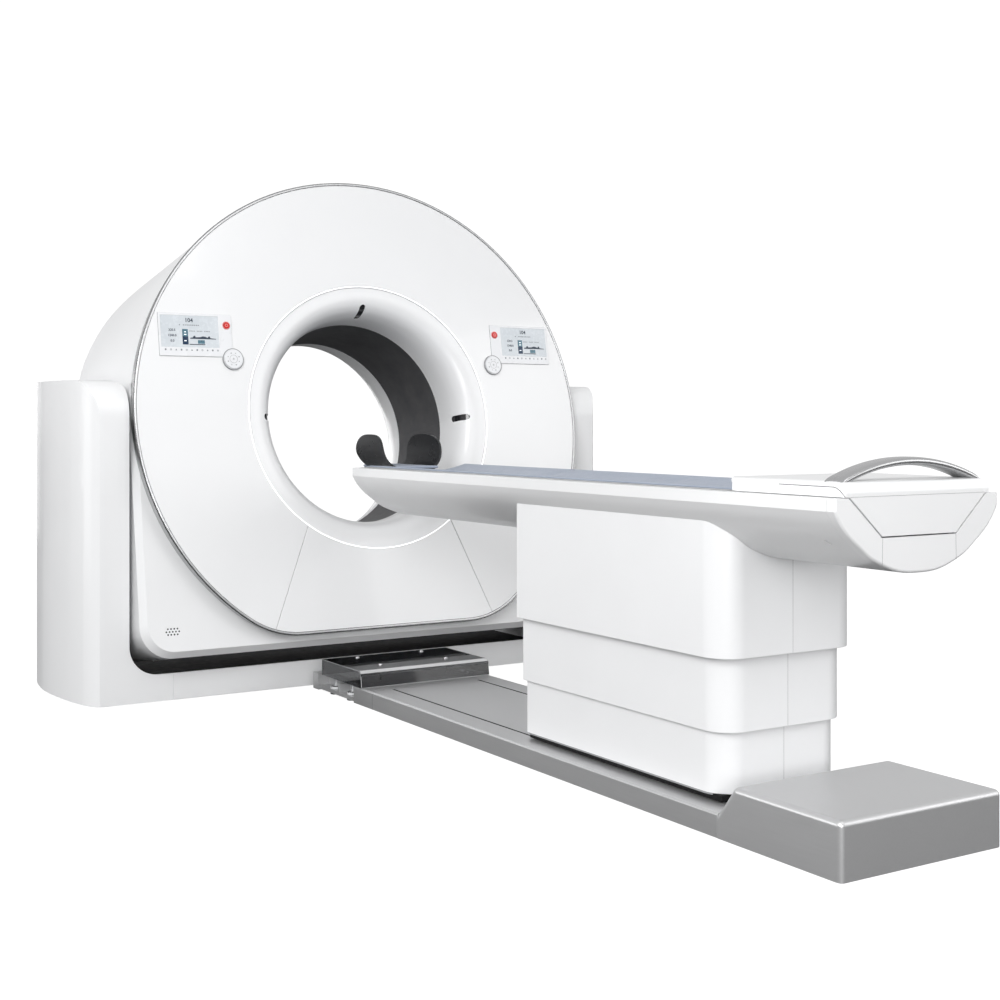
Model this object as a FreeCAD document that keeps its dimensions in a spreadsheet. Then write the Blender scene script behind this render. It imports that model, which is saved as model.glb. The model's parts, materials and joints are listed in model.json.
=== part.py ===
import FreeCAD, Part
import math
import os
import Sketcher

# Wide-bore scanner with a tilting ring on two columns and a three-stage
# pedestal couch on a floor rail. Millimetres, +Z up. The origin is the floor
# point under the tilt axis; the couch runs towards -Y and the tilt axis is X.
# The ring is modelled in its own frame (x, u rearwards, v up) about the tilt
# axis and then turned back by rest_tilt.

V = FreeCAD.Vector
ROT = FreeCAD.Rotation
PLC = FreeCAD.Placement
os.makedirs("parts", exist_ok=True)
doc = FreeCAD.newDocument("scanner")
sheet = doc.addObject("Spreadsheet::Sheet", "dims")


class Q:
    """A size that knows its number and the cell expression it comes from."""

    def __init__(self, value, text):
        self.v = float(value)
        self.t = text

    def _join(self, other, sign, value, swap=False):
        o = other.t if isinstance(other, Q) else repr(float(other))
        a, b = (o, self.t) if swap else (self.t, o)
        return Q(value, "(%s %s %s)" % (a, sign, b))

    def __add__(self, o): return self._join(o, "+", self.v + num(o))
    def __radd__(self, o): return self._join(o, "+", num(o) + self.v, True)
    def __sub__(self, o): return self._join(o, "-", self.v - num(o))
    def __rsub__(self, o): return self._join(o, "-", num(o) - self.v, True)
    def __mul__(self, o): return self._join(o, "*", self.v * num(o))
    def __rmul__(self, o): return self._join(o, "*", num(o) * self.v, True)
    def __truediv__(self, o): return self._join(o, "/", self.v / num(o))
    def __neg__(self): return Q(-self.v, "(0 - %s)" % self.t)


def num(a):
    return a.v if isinstance(a, Q) else float(a)


D = {}
_row = [0]


def dim(name, value):
    _row[0] += 1
    sheet.set("A%d" % _row[0], name)
    sheet.set("B%d" % _row[0], repr(float(value)))
    sheet.setAlias("B%d" % _row[0], name)
    D[name] = Q(value, "dims.%s" % name)
    return D[name]


# ---- driving sizes -------------------------------------------------------
pivot = dim("pivot_height", 988.6)
tilt = dim("rest_tilt", 9.43)
bore_r = dim("bore_radius", 410.0)
bore_front = dim("bore_front", -201.0)
bore_rear = dim("bore_rear", 172.0)
face_u = dim("face_plane", -393.0)
disc_r = dim("disc_radius", 960.0)
disc_top = dim("disc_top", 944.0)
disc_flat = dim("disc_flat", 826.0)
disc_round = dim("disc_round", 350.0)
trim_w = dim("trim_width", 12.6)
house_u = dim("housing_plane", -332.3)
house_r = dim("housing_radius", 964.0)
house_top = dim("housing_top", 948.0)
rear_u = dim("rear_plane", 397.0)
rear_r = dim("rear_radius", 960.0)
rear_top = dim("rear_top", 925.0)
rear_full = dim("rear_shoulder", 21.0)
house_low = dim("housing_low", 882.0)
house_corner = dim("housing_corner", 120.0)
ring_r = dim("ring_line_radius", 527.0)
skin = dim("shell_skin", 5.0)
col_in = dim("column_inner", 980.0)
col_out = dim("column_front_outer", 1088.0)
col_max = dim("column_bulge", 1172.0)
col_top = dim("column_height", 1183.0)
col_front = dim("column_front", -362.4)
col_rear = dim("column_rear", 400.0)
bar_top = dim("base_bar_height", 100.5)
bar_seam = dim("base_bar_seam", 815.0)
well_corner = dim("base_inner_corner", 110.0)
plate_h = dim("base_plate_height", 40.0)
anchor_x = dim("anchor_half_x", 1020.0)
anchor_y = dim("anchor_half_y", 320.0)
anchor_r = dim("anchor_hole_radius", 9.0)
trun_r = dim("trunnion_radius", 45.0)
rotor_r = dim("rotor_rim_radius", 824.5)
race_r = dim("bearing_gap_radius", 500.0)
rail_w = dim("rail_half_width", 271.0)
rail_h = dim("rail_height", 62.4)
rail_y0 = dim("rail_tail", -2787.8)
rail_y1 = dim("rail_front", -759.0)
slot_x = dim("slot_centre", 179.5)
slot_y = dim("slot_front", -894.0)
box_y = dim("end_box_tail", -3210.0)
box_z = dim("end_box_height", 140.3)
low_w = dim("lower_cover_half", 210.0)
mid_w = dim("middle_cover_half", 220.0)
up_w = dim("upper_cover_half", 240.0)
low_z = dim("lower_cover_base", 82.4)
mid_z = dim("middle_cover_base", 242.0)
up_z = dim("upper_cover_base", 434.0)
wall = dim("cover_wall", 3.0)
rim_z = dim("table_rim", 862.0)
crease_z = dim("table_crease", 832.0)
keel_z = dim("table_keel", 681.0)
boat_w = dim("table_half_width", 274.0)
boat_y1 = dim("table_tip", -755.0)
boat_y0 = dim("table_tail", -3195.0)
cap_y = dim("tail_cap_seam", -3168.0)
crad_top = dim("cradle_half_top", 228.0)
crad_low = dim("cradle_half_low", 123.0)
crad_z = dim("cradle_low", 771.0)
pad_w = dim("pad_half_width", 205.0)
pad_z = dim("pad_centre", 843.0)
pad_t = dim("pad_thickness", 12.0)
pad_rho = dim("pad_hollow", 1350.0)
end_y = dim("end_cover_front", -2800.0)
end_w = dim("end_cover_half", 240.0)
end_z = dim("end_cover_top", 899.0)

NODES = []  # labels in order


def bind(obj, prop, q):
    if isinstance(q, Q):
        obj.setExpression(prop, q.t)
    return num(q)


def keep(obj, label):
    obj.Label = label
    NODES.append((label, obj))
    return obj


def move(obj, x=0, y=0, z=0, axis=None, angle=0):
    p = PLC(V(num(x), num(y), num(z)), ROT(axis, num(angle)) if axis else ROT())
    obj.Placement = p
    for k, q in (("x", x), ("y", y), ("z", z)):
        if isinstance(q, Q):
            obj.setExpression("Placement.Base.%s" % k, q.t)
    return obj


def box(x0, x1, y0, y1, z0, z1, name="block"):
    o = doc.addObject("Part::Box", name)
    o.Length = bind(o, "Length", x1 - x0)
    o.Width = bind(o, "Width", y1 - y0)
    o.Height = bind(o, "Height", z1 - z0)
    return move(o, x0, y0, z0)


def cyl(axis, r, a0, a1, p=0, q=0, name="round"):
    """A cylinder along X, Y or Z from a0 to a1; p and q are its other two coordinates in order."""
    o = doc.addObject("Part::Cylinder", name)
    o.Radius = bind(o, "Radius", r)
    o.Height = bind(o, "Height", a1 - a0)
    if axis == "Z":
        return move(o, p, q, a0)
    if axis == "X":
        return move(o, a0, p, q, V(0, 1, 0), 90)
    return move(o, p, a0, q, V(1, 0, 0), -90)


def fuse(*objs, name="joined"):
    if len(objs) == 1:
        return objs[0]
    o = doc.addObject("Part::MultiFuse", name)
    o.Shapes = list(objs)
    return o


def cut(base, *tools, name="trimmed"):
    o = doc.addObject("Part::Cut", name)
    o.Base = base
    o.Tool = fuse(*tools, name=name + "_tools")
    return o


def common(a, b, name="shared"):
    o = doc.addObject("Part::Common", name)
    o.Base = a
    o.Tool = b
    return o


def group(*objs, name="set"):
    o = doc.addObject("Part::Compound", name)
    o.Links = list(objs)
    return o


def mirror_x(obj, name="mirrored"):
    o = doc.addObject("Part::Mirroring", name)
    o.Source = obj
    o.Normal = V(1, 0, 0)
    o.Base = V(0, 0, 0)
    return o


def both(obj, name="pair"):
    return group(obj, mirror_x(obj), name=name)


def raw(shape, name="form"):
    o = doc.addObject("Part::Feature", name)
    o.Shape = shape
    return o


def fillet(obj, edges, r, name="rounded"):
    doc.recompute()
    o = doc.addObject("Part::Fillet", name)
    o.Base = obj
    o.Edges = [(i, num(r), num(r)) for i in edges]
    return o


def edges_where(obj, test):
    doc.recompute()
    return [i + 1 for i, e in enumerate(obj.Shape.Edges) if test(e)]


def along(e, axis):
    """True for a straight edge along the axis."""
    if e.Curve.TypeId != "Part::GeomLine":
        return False
    d = e.Curve.Direction
    return abs(abs(getattr(d, axis)) - 1) < 1e-6


def plane_of(body, role):
    return [f for f in body.Origin.OriginFeatures if f.Role == role][0]


def draw(body, role, loops, offset=0, name="profile"):
    """A sketch on one of the body's planes. A loop is a list of corner points or ("o", x, y, r)."""
    sk = body.newObject("Sketcher::SketchObject", name)
    sk.AttachmentSupport = [(plane_of(body, role), "")]
    sk.MapMode = "FlatFace"
    if isinstance(offset, Q) or offset:
        sk.AttachmentOffset = PLC(V(0, 0, num(offset)), ROT())
        if isinstance(offset, Q):
            sk.setExpression("AttachmentOffset.Base.z", offset.t)

    def fix(kind, geo, pos, q):
        i = sk.addConstraint(Sketcher.Constraint(kind, -1, 1, geo, pos, num(q)))
        if isinstance(q, Q):
            sk.setExpression("Constraints[%d]" % i, q.t)

    for loop in loops:
        if loop[0] == "o":
            _, x, y, r = loop
            g = sk.addGeometry(Part.Circle(V(num(x), num(y), 0), V(0, 0, 1), num(r)))
            i = sk.addConstraint(Sketcher.Constraint("Radius", g, num(r)))
            if isinstance(r, Q):
                sk.setExpression("Constraints[%d]" % i, r.t)
            fix("DistanceX", g, 3, x)
            fix("DistanceY", g, 3, y)
            continue
        pts = [V(num(x), num(y), 0) for x, y in loop]
        first = None
        for i, p in enumerate(pts):
            g = sk.addGeometry(Part.LineSegment(p, pts[(i + 1) % len(pts)]))
            if first is None:
                first = g
            else:
                sk.addConstraint(Sketcher.Constraint("Coincident", g - 1, 2, g, 1))
        sk.addConstraint(Sketcher.Constraint("Coincident", g, 2, first, 1))
        for i, (x, y) in enumerate(loop):
            fix("DistanceX", first + i, 1, x)
            fix("DistanceY", first + i, 1, y)
    return sk


def pad(role, loops, length, offset=0, name="body", mid=False, back=False):
    """A sketch padded along its plane's normal (XY: +Z, XZ: -Y, YZ: +X)."""
    b = doc.addObject("PartDesign::Body", name)
    sk = draw(b, role, loops, offset)
    p = b.newObject("PartDesign::Pad", "Pad")
    p.Profile = sk
    p.Length = bind(p, "Length", length)
    p.Midplane = mid
    p.Reversed = back
    sk.Visibility = False
    return b


def pocket(b, role, loops, length, offset=0, back=False, mid=False):
    sk = draw(b, role, loops, offset, name="hole_profile")
    doc.recompute()
    before = b.Shape.Volume
    p = b.newObject("PartDesign::Pocket", "Pocket")
    p.Profile = sk
    p.Length = bind(p, "Length", length)
    p.Reversed = back
    p.Midplane = mid
    doc.recompute()
    if b.Shape.Volume > before - 1e-3:
        raise RuntimeError("a pocket in %s removed nothing" % b.Name)
    return p


def revolve(loops, name="turned"):
    """A profile of (radius, position along Y) turned about Y."""
    b = doc.addObject("PartDesign::Body", name)
    sk = draw(b, "XY_Plane", loops)
    r = b.newObject("PartDesign::Revolution", "Revolution")
    r.Profile = sk
    r.ReferenceAxis = (sk, ["V_Axis"])
    r.Angle = 360
    return b


def revolve_z(loops, name="turned_z"):
    """A profile of (radius, height) turned about Z."""
    b = doc.addObject("PartDesign::Body", name)
    sk = draw(b, "XZ_Plane", loops)
    r = b.newObject("PartDesign::Revolution", "Revolution")
    r.Profile = sk
    r.ReferenceAxis = (sk, ["V_Axis"])
    r.Angle = 360
    return b


def ring(r0, r1, u0, u1, name="ring"):
    return revolve([[(r0, u0), (r1, u0), (r1, u1), (r0, u1)]], name)


def ganged(obj, label):
    """Place a ring-frame piece: about the tilt axis, leaned back by rest_tilt."""
    obj.Placement = PLC(V(0, 0, num(pivot)), ROT(V(1, 0, 0), -num(tilt)))
    obj.setExpression("Placement.Base.z", pivot.t)
    obj.setExpression("Placement.Rotation.Angle", "0 - " + tilt.t)
    return keep(obj, label)


def seat(obj, **k):
    return group(move(obj, **k))


# ---- free outlines used more than once -----------------------------------
def P2(x, z, y=0.0):
    return V(x, y, z)


def closed(edges):
    return Part.Face(Part.Wire(Part.__sortEdges__(edges)))


def d_face(grow, u):
    """Disc with a flat foot: slightly low oval, chord and two large rounded corners, grown outwards by grow."""
    R, T = num(disc_r) + grow, num(disc_top) + grow
    f, r = num(disc_flat) + grow, num(disc_round) + grow
    lo, hi = math.radians(-89), math.radians(-5)
    for _ in range(60):  # where a corner circle on the foot touches the oval from inside
        t = (lo + hi) / 2
        nx, nz = math.cos(t) / R, math.sin(t) / T
        k = math.hypot(nx, nz)
        cz = T * math.sin(t) - r * nz / k
        if cz > -(f - r):
            hi = t
        else:
            lo = t
    cx = R * math.cos(t) - r * nx / k
    touch = V(R * math.cos(t), u, T * math.sin(t))
    m = (math.atan2(nz, nx) - math.pi / 2) / 2
    mid = V(cx + r * math.cos(m), u, -(f - r) + r * math.sin(m))
    L = lambda p: V(-p.x, p.y, p.z)
    low = V(cx, u, -f)
    oval = Part.Ellipse(V(R, u, 0), V(0, u, T), V(0, u, 0))
    return closed([
        Part.ArcOfEllipse(oval, t, math.pi - t).toShape(),
        Part.Arc(touch, mid, low).toShape(),
        Part.Arc(L(touch), L(mid), L(low)).toShape(),
        Part.LineSegment(low, L(low)).toShape(),
    ])


SHOULDER = ((0, 0.0), (8, 0.36), (16, 0.78), (24, 1.0), (32, 0.9), (40, 0.56), (50, 0.2), (60, 0.04), (75, 0.0))


def u_wire(R, T, full, low, c, u):
    """Arch outline: oval crown with fuller shoulders, straight sides, foot with rounded corners."""
    k = c * (1 - math.sqrt(0.5))
    side = []
    for a, w in SHOULDER:
        q = math.radians(a)
        r = R * T / math.hypot(T * math.cos(q), R * math.sin(q)) + full * w
        side.append(V(r * math.cos(q), u, r * math.sin(q)))
    pts = side + [V(0, u, T)] + [V(-p.x, u, p.z) for p in reversed(side)]
    crown = Part.BSplineCurve()
    crown.interpolate(Points=pts, InitialTangent=V(0, 0, 1), FinalTangent=V(0, 0, -1))
    e = [
        crown.toShape(),
        Part.LineSegment(V(-R, u, 0), V(-R, u, -low + c)).toShape(),
        Part.Arc(V(-R, u, -low + c), V(-R + k, u, -low + k), V(-R + c, u, -low)).toShape(),
        Part.LineSegment(V(-R + c, u, -low), V(R - c, u, -low)).toShape(),
        Part.Arc(V(R - c, u, -low), V(R - k, u, -low + k), V(R, u, -low + c)).toShape(),
        Part.LineSegment(V(R, u, -low + c), V(R, u, 0)).toShape(),
    ]
    return Part.Wire(e)


def loft(*wires):
    return Part.makeLoft(list(wires), True, True)


def slab(face, length):
    return face.extrude(V(0, length, 0))


def turned(points, closed_spline=None):
    """Solid of revolution about Y from edges in the (x, u) plane."""
    f = Part.Face(Part.Wire(points))
    return f.revolve(V(0, 0, 0), V(0, 1, 0), 360)


BIG = 3000.0


def half_space(low):
    """Box that holds everything above or below the tilt axis plane."""
    if low:
        return Part.makeBox(2 * BIG, 2 * BIG, BIG, V(-BIG, -BIG, -BIG))
    return Part.makeBox(2 * BIG, 2 * BIG, BIG, V(-BIG, -BIG, 0))


# ==== 1. floor stand =======================================================
tower_x0, tower_x1 = 1000.0, 1060.0

base = pad("XY_Plane", [
    [(-1072.0, -345.0), (1072.0, -345.0), (1072.0, 345.0), (-1072.0, 345.0)],
    ("o", anchor_x, anchor_y, anchor_r), ("o", -anchor_x, anchor_y, anchor_r),
    ("o", anchor_x, -anchor_y, anchor_r), ("o", -anchor_x, -anchor_y, anchor_r)],
    plate_h, name="base_plate")
tower = pad("YZ_Plane", [
    [(-285.0, plate_h), (285.0, plate_h), (110.0, 880.0), (110.0, pivot + 110.0),
     (-110.0, pivot + 110.0), (-110.0, 880.0)],
    ("o", 0.0, pivot, 70.0)], tower_x1 - tower_x0, offset=tower_x0, name="tower")
pocket(tower, "YZ_Plane", [[(-190.0, 110.0), (190.0, 110.0), (95.0, 560.0), (-95.0, 560.0)]],
       tower_x1 - tower_x0, offset=tower_x0 + 60.0)
foot = box(tower_x0 - 12.0, tower_x1 + 10.0, -285.0, 285.0, plate_h, plate_h + 16.0)
keep(fuse(base, tower, mirror_x(tower), foot, mirror_x(foot)), "base_frame")

brg = cut(cyl("X", 70.0, tower_x0 + 4.0, tower_x1 - 4.0, 0, pivot),
          cyl("X", trun_r + 0.0, tower_x0, tower_x1, 0, pivot))
keep(both(brg), "trunnion_bearings")

# tilt gearbox and motor on the right tower
gb = cut(fuse(box(1060.0, 1120.0, -95.0, 95.0, pivot - 95.0, pivot + 95.0),
              box(1060.0, 1114.0, -80.0, 80.0, pivot - 240.0, pivot - 95.0),
              cyl("Z", 46.0, pivot - 470.0, pivot - 240.0, 1108.0, 0)),
         cyl("X", trun_r + 0.5, 1055.0, 1104.0, 0, pivot))
keep(gb, "tilt_drive")


def plan_face(side, t):
    """Column plan: flat inner and front faces, crisp outer corner, bulged flank. t insets it."""
    f, r = num(col_front) + t, num(col_rear) - t
    xi, xo, xm = num(col_in) + t, num(col_out), num(col_max) - t
    p = lambda x, y: V(side * x, y, 0)
    xs = xo - 0.4 * t
    bulge = Part.BSplineCurve()
    bulge.interpolate(Points=[p(xs, f), p(xo + 29 - t, -320), p(xm - 35, -255), p(xm - 22, -190), p(xm - 11, -110),
                              p(xm - 2, -10), p(xm, 70), p(xm - 8, 170), p(xm - 24, 270), p(xm - 60, r)])
    return Part.Face(Part.Wire([
        Part.LineSegment(p(xi, r), p(xi, f)).toShape(),
        Part.LineSegment(p(xi, f), p(xs, f)).toShape(),
        bulge.toShape(),
        Part.LineSegment(p(xm - 60, r), p(xi, r)).toShape()]))


def side_face(t):
    """Column seen from the side: rolled front and rear top corners."""
    f, r, h, c = num(col_front) + t, num(col_rear) - t, num(col_top) - t, 135.0 - t
    k = c * (1 - math.sqrt(0.5))
    q = lambda y, z: V(0, y, z)
    return Part.Face(Part.Wire([
        Part.LineSegment(q(f, -10), q(f, h - c)).toShape(),
        Part.Arc(q(f, h - c), q(f + k, h - k), q(f + c, h)).toShape(),
        Part.LineSegment(q(f + c, h), q(r - c, h)).toShape(),
        Part.Arc(q(r - c, h), q(r - k, h - k), q(r, h - c)).toShape(),
        Part.LineSegment(q(r, h - c), q(r, -10)).toShape(),
        Part.LineSegment(q(r, -10), q(f, -10)).toShape()]))


def crown_face(side, t):
    """Column seen from the front: inner top corner rounded."""
    h, xi, c = num(col_top) - t, num(col_in) + t, 40.0 - t
    k = c * (1 - math.sqrt(0.5))
    q = lambda x, z: V(side * x, -BIG, z)
    return Part.Face(Part.Wire([
        Part.LineSegment(q(xi, -20), q(xi, h - c)).toShape(),
        Part.Arc(q(xi, h - c), q(xi + k, h - k), q(xi + c, h)).toShape(),
        Part.LineSegment(q(xi + c, h), q(1300, h)).toShape(),
        Part.LineSegment(q(1300, h), q(1300, -20)).toShape(),
        Part.LineSegment(q(1300, -20), q(xi, -20)).toShape()]))


def column_block(side, t, z0):
    a = plan_face(side, t)
    a.translate(V(0, 0, z0))
    a = a.extrude(V(0, 0, 1400))
    s = side_face(t)
    s.translate(V(side * 1350 if side < 0 else 900, 0, 0))
    s = s.extrude(V(450, 0, 0))
    return a.common(s).common(crown_face(side, t).extrude(V(0, 2 * BIG, 0)))


def toe(side, y0, y1, z0):
    """Fascia below the well's rounded corner, from the column to the seam."""
    x0, x1, h, c = num(bar_seam), num(col_in) + 3, num(bar_top), num(well_corner)
    xi = num(col_in)
    k = c * (1 - math.sqrt(0.5))
    q = lambda x, z: V(side * x, y0, z)
    f = Part.Face(Part.Wire([
        Part.LineSegment(q(x0, z0), q(x0, h)).toShape(),
        Part.LineSegment(q(x0, h), q(xi - c, h)).toShape(),
        Part.Arc(q(xi - c, h), q(xi - k, h + k), q(xi, h + c)).toShape(),
        Part.LineSegment(q(xi, h + c), q(x1, h + c)).toShape(),
        Part.LineSegment(q(x1, h + c), q(x1, z0)).toShape(),
        Part.LineSegment(q(x1, z0), q(x0, z0)).toShape()]))
    return f.extrude(V(0, y1 - y0, 0))


def column_cover(side):
    s = column_block(side, 0.0, 2.0).cut(column_block(side, 4.0, -5.0))
    fr, rr = num(col_front), num(col_rear)
    s = s.fuse(toe(side, fr, fr + 10, 2.0)).fuse(toe(side, rr - 10, rr, 2.0))
    hole = Part.makeCylinder(62.0, 60.0, V(side * 960, 0, num(pivot)), V(side, 0, 0))
    sill = Part.makeBox(30.0, 694.0, 60.0, V(side * 980 - 15.0, -347.0, num(plate_h) + 1.0 - 60.0))
    return s.cut(hole).cut(sill).removeSplitter()


keep(raw(column_cover(-1)), "left_column_cover")
keep(raw(column_cover(1)), "right_column_cover")

bar = pad("XZ_Plane", [[(-bar_seam + 0.8, 2.0), (-210.0, 2.0), (-210.0, 14.0), (210.0, 14.0),
                        (210.0, 2.0), (bar_seam - 0.8, 2.0), (bar_seam - 0.8, bar_top),
                        (-bar_seam + 0.8, bar_top)]], 10.0, offset=-col_front - 10.0, name="bar")
rbar = pad("XZ_Plane", [[(-bar_seam + 0.8, 2.0), (bar_seam - 0.8, 2.0), (bar_seam - 0.8, bar_top),
                         (-bar_seam + 0.8, bar_top)]], 10.0, offset=-col_rear, name="rbar")
keep(group(bar, rbar), "base_covers")

# ==== 2. tilting ring: fixed parts ========================================
stator = pad("XZ_Plane", [("o", 0.0, 0.0, 872.0), ("o", 0.0, 0.0, 470.0)], 26.0, offset=-236.0,
             name="stator")
arm = fuse(box(872.0, 944.0, -95.0, 236.0, -115.0, 115.0),
           box(800.0, 874.0, 212.0, 236.0, -115.0, 115.0))
arm_void = box(885.0, 934.0, -80.0, 205.0, -100.0, 100.0)
trun_seat = cyl("X", trun_r, 925.0, 960.0, 0, 0)
beams = fuse(box(-400.0, 400.0, 236.0, 262.0, -800.0, -740.0),
             box(-400.0, 400.0, 236.0, 262.0, 740.0, 800.0),
             cut(box(560.0, 790.0, 210.0, 236.0, -806.0, -540.0), cyl("Y", 66.0, 200.0, 240.0, 838.0, -742.0)))
one_arm = cut(arm, arm_void, trun_seat)
ganged(fuse(stator, one_arm, mirror_x(one_arm), beams), "gantry_frame")

shaft = fuse(cyl("X", trun_r - 0.05, 930.0, 1100.0, 0, 0), cyl("X", 57.0, 944.05, 958.0, 0, 0))
shaft_l = mirror_x(fuse(cyl("X", trun_r - 0.05, 930.0, 1062.0, 0, 0),
                        cyl("X", 57.0, 944.05, 958.0, 0, 0)))
ganged(group(shaft, shaft_l), "trunnion_shafts")

ganged(revolve([[(race_r + 0.06, 150.0), (548.0, 150.0), (548.0, 210.0), (470.2, 210.0),
                 (470.2, 202.0), (race_r + 0.06, 202.0)]], "outer_race"), "main_bearing_outer")

# bore tube and the two flared funnels
ganged(ring(bore_r, bore_r + 4.0, bore_front + 2.0, bore_rear - 2.0, "bore_tube"), "bore_liner")


def flare(sign, u_in, u_out, r_out, t, n=2.0):
    """Funnel from the bore edge to the face: quarter of a superellipse of power n, wall t."""
    r = num(bore_r)
    a = abs(u_out - u_in)
    b = r_out - r
    N = 14

    def at(th):
        return V(r + b * (1 - math.cos(th) ** (2.0 / n)), u_in + sign * a * math.sin(th) ** (2.0 / n), 0)
    # even spacing along the bend
    fine = [at(math.pi / 2 * i / 900.0) for i in range(901)]
    run_len = [0.0]
    for i in range(900):
        run_len.append(run_len[-1] + (fine[i + 1] - fine[i]).Length)
    inner, outer = [], []
    for j in range(N + 1):
        goal = run_len[-1] * j / N
        i = min(range(901), key=lambda k: abs(run_len[k] - goal))
        p = fine[i]
        if j == 0:
            d = V(0, sign, 0)
        elif j == N:
            d = V(1, 0, 0)
        else:
            d = fine[min(i + 6, 900)] - fine[max(i - 6, 0)]
            d.normalize()
        inner.append(p)
        outer.append(V(p.x + t * abs(d.y), p.y - sign * t * abs(d.x), 0))
    c = Part.BSplineCurve()
    c.interpolate(Points=inner, InitialTangent=V(0, sign, 0), FinalTangent=V(1, 0, 0))
    o = Part.BSplineCurve()
    o.interpolate(Points=outer, InitialTangent=V(0, sign, 0), FinalTangent=V(1, 0, 0))
    return turned([c.toShape(), Part.LineSegment(inner[-1], outer[-1]).toShape(),
                   o.toShape(), Part.LineSegment(outer[0], inner[0]).toShape()])


SLOT_HALF = 12.5
SLOT_LEAN = V(0.8808, 0.4735, 0)  # square to the funnel's slope where the slot sits


def slot_tool(angle, half):
    """Rounded slot that follows the funnel's slope, cut square to its surface."""
    along_ = V(0.4735, -0.8808, 0)
    c = V(435.5, -335.0, 0) - SLOT_LEAN * 60.0
    n = 45.4 - half if half == SLOT_HALF else 45.2 - half
    q = lambda s, w: c + along_ * s + V(0, 0, w)
    e = [Part.LineSegment(q(-n, half), q(n, half)).toShape(),
         Part.Arc(q(n, half), q(n + half, 0), q(n, -half)).toShape(),
         Part.LineSegment(q(n, -half), q(-n, -half)).toShape(),
         Part.Arc(q(-n, -half), q(-n - half, 0), q(-n, half)).toShape()]
    s = Part.Face(Part.Wire(e)).extrude(SLOT_LEAN * 120.0)
    s.rotate(V(0, 0, 0), V(0, -1, 0), angle)
    return s


f_in, f_out = num(bore_front), num(face_u) + 7.0
front_flare = flare(-1, f_in, f_out, num(ring_r) - 3.2, 5.0, 3.2)
slots = (90, 0, 180)
funnel = front_flare.copy()
for ang in slots:
    front_flare = front_flare.cut(slot_tool(ang, SLOT_HALF))
ganged(raw(front_flare), "front_flare")
glass = []
for ang in slots:
    g = funnel.common(slot_tool(ang, SLOT_HALF - 0.2))
    g.translate(ROT(V(0, -1, 0), ang).multVec(SLOT_LEAN) * 3.0)
    glass += g.Solids
ganged(raw(Part.Compound(glass)), "laser_windows")
ganged(ring(ring_r - 3.0, ring_r + 3.0, face_u + 1.6, face_u + 10.0, "glow"), "light_ring")
ganged(raw(flare(1, num(bore_rear), num(rear_u) + 6.0, num(ring_r) - 1.0, 5.0)), "rear_flare")

# front disc, its removable lower panel and the polished trim
plate = slab(d_face(0.0, num(face_u)), 6.0)
plate = plate.cut(Part.makeCylinder(num(ring_r) + 3.4, 60, V(0, num(face_u) - 20, 0), V(0, 1, 0)))


def wedge(inset, u0, u1):
    """Lower service panel outline between ring line and flat foot."""
    pts = [(-312.0 + inset, -392.0), (-312.0 + inset, -419.0), (-480.0 + inset, -822.0), (-488.0 + inset, -892.0),
           (488.0 - inset, -892.0), (480.0 - inset, -822.0), (312.0 - inset, -419.0), (312.0 - inset, -392.0)]
    w = Part.makePolygon([V(x, u0, z) for x, z in pts + pts[:1]])
    return Part.Face(w).extrude(V(0, u1 - u0, 0))


fu = num(face_u)
ganged(raw(plate.cut(wedge(0.0, fu - 10, fu + 30)).removeSplitter()), "front_disc_cover")
ganged(raw(plate.common(wedge(1.8, fu - 10, fu + 30))), "front_service_panel")

tw, hu = num(trim_w), num(house_u)
grow_back = num(house_r) - num(disc_r)
nose = loft(d_face(tw - 3.0, fu - 1.2).OuterWire, d_face(tw, fu + 2.2).OuterWire)
body_t = loft(d_face(tw, fu + 2.2).OuterWire, d_face(grow_back, hu).OuterWire)
trim = nose.fuse(body_t)
trim = trim.cut(slab(d_face(0.5, fu - 20.0), 27.0)).cut(slab(d_face(-5.0, fu - 20.0), 120.0))
ganged(raw(trim.removeSplitter()), "trim_ring")

# white housing behind the disc: upper drum, lower housing, black tray, rear
hr, rr_, ru = num(house_r), num(rear_r), num(rear_u)
ht, rt_ = num(house_top), num(rear_top)
low, hc, sk_ = num(house_low), num(house_corner), num(skin)
swing = Part.makeCylinder(936.0, 2600.0, V(-1300, 0, 0), V(1, 0, 0))


def shell_block(t, u0, u1):
    """Full housing form inset by t between two stations."""
    def station(u):
        k = (u - hu) / (ru - hu)
        return u_wire(hr + (rr_ - hr) * k - t, ht + (rt_ - ht) * k - t, num(rear_full) * k, low - t, hc - t, u)
    return loft(station(u0), station(u1))


drum = shell_block(0.0, hu + 0.4, ru).cut(shell_block(sk_, hu - 5.0, ru + 5.0))
drum = drum.common(half_space(False))
shaft_way = Part.makeCylinder(59.0, 2400.0, V(-1200, 0, 0), V(1, 0, 0))
drum = drum.cut(shaft_way)
ganged(raw(drum.removeSplitter()), "drum_cover")

bev = 23.0
front_w = u_wire(hr - bev, ht - bev, 0.0, low - bev, hc - bev + 4.0, hu)
lower_out = loft(front_w, u_wire(hr - 0.6, ht, 0.0, low, hc, hu + bev)).fuse(shell_block(0.0, hu + bev, ru))
lower_in = loft(u_wire(hr - bev - 3.0, ht - bev, 0.0, low - bev - 3.0, hc - bev, hu + 5.0),
                u_wire(hr - sk_, ht, 0.0, low - sk_, hc - sk_, hu + bev)).fuse(shell_block(sk_, hu + bev, ru + 5.0))
lower = lower_out.cut(lower_in).common(half_space(True))
lower = lower.cut(slab(d_face(-5.0, hu - 30.0), 60.0)).cut(shaft_way)
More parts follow.
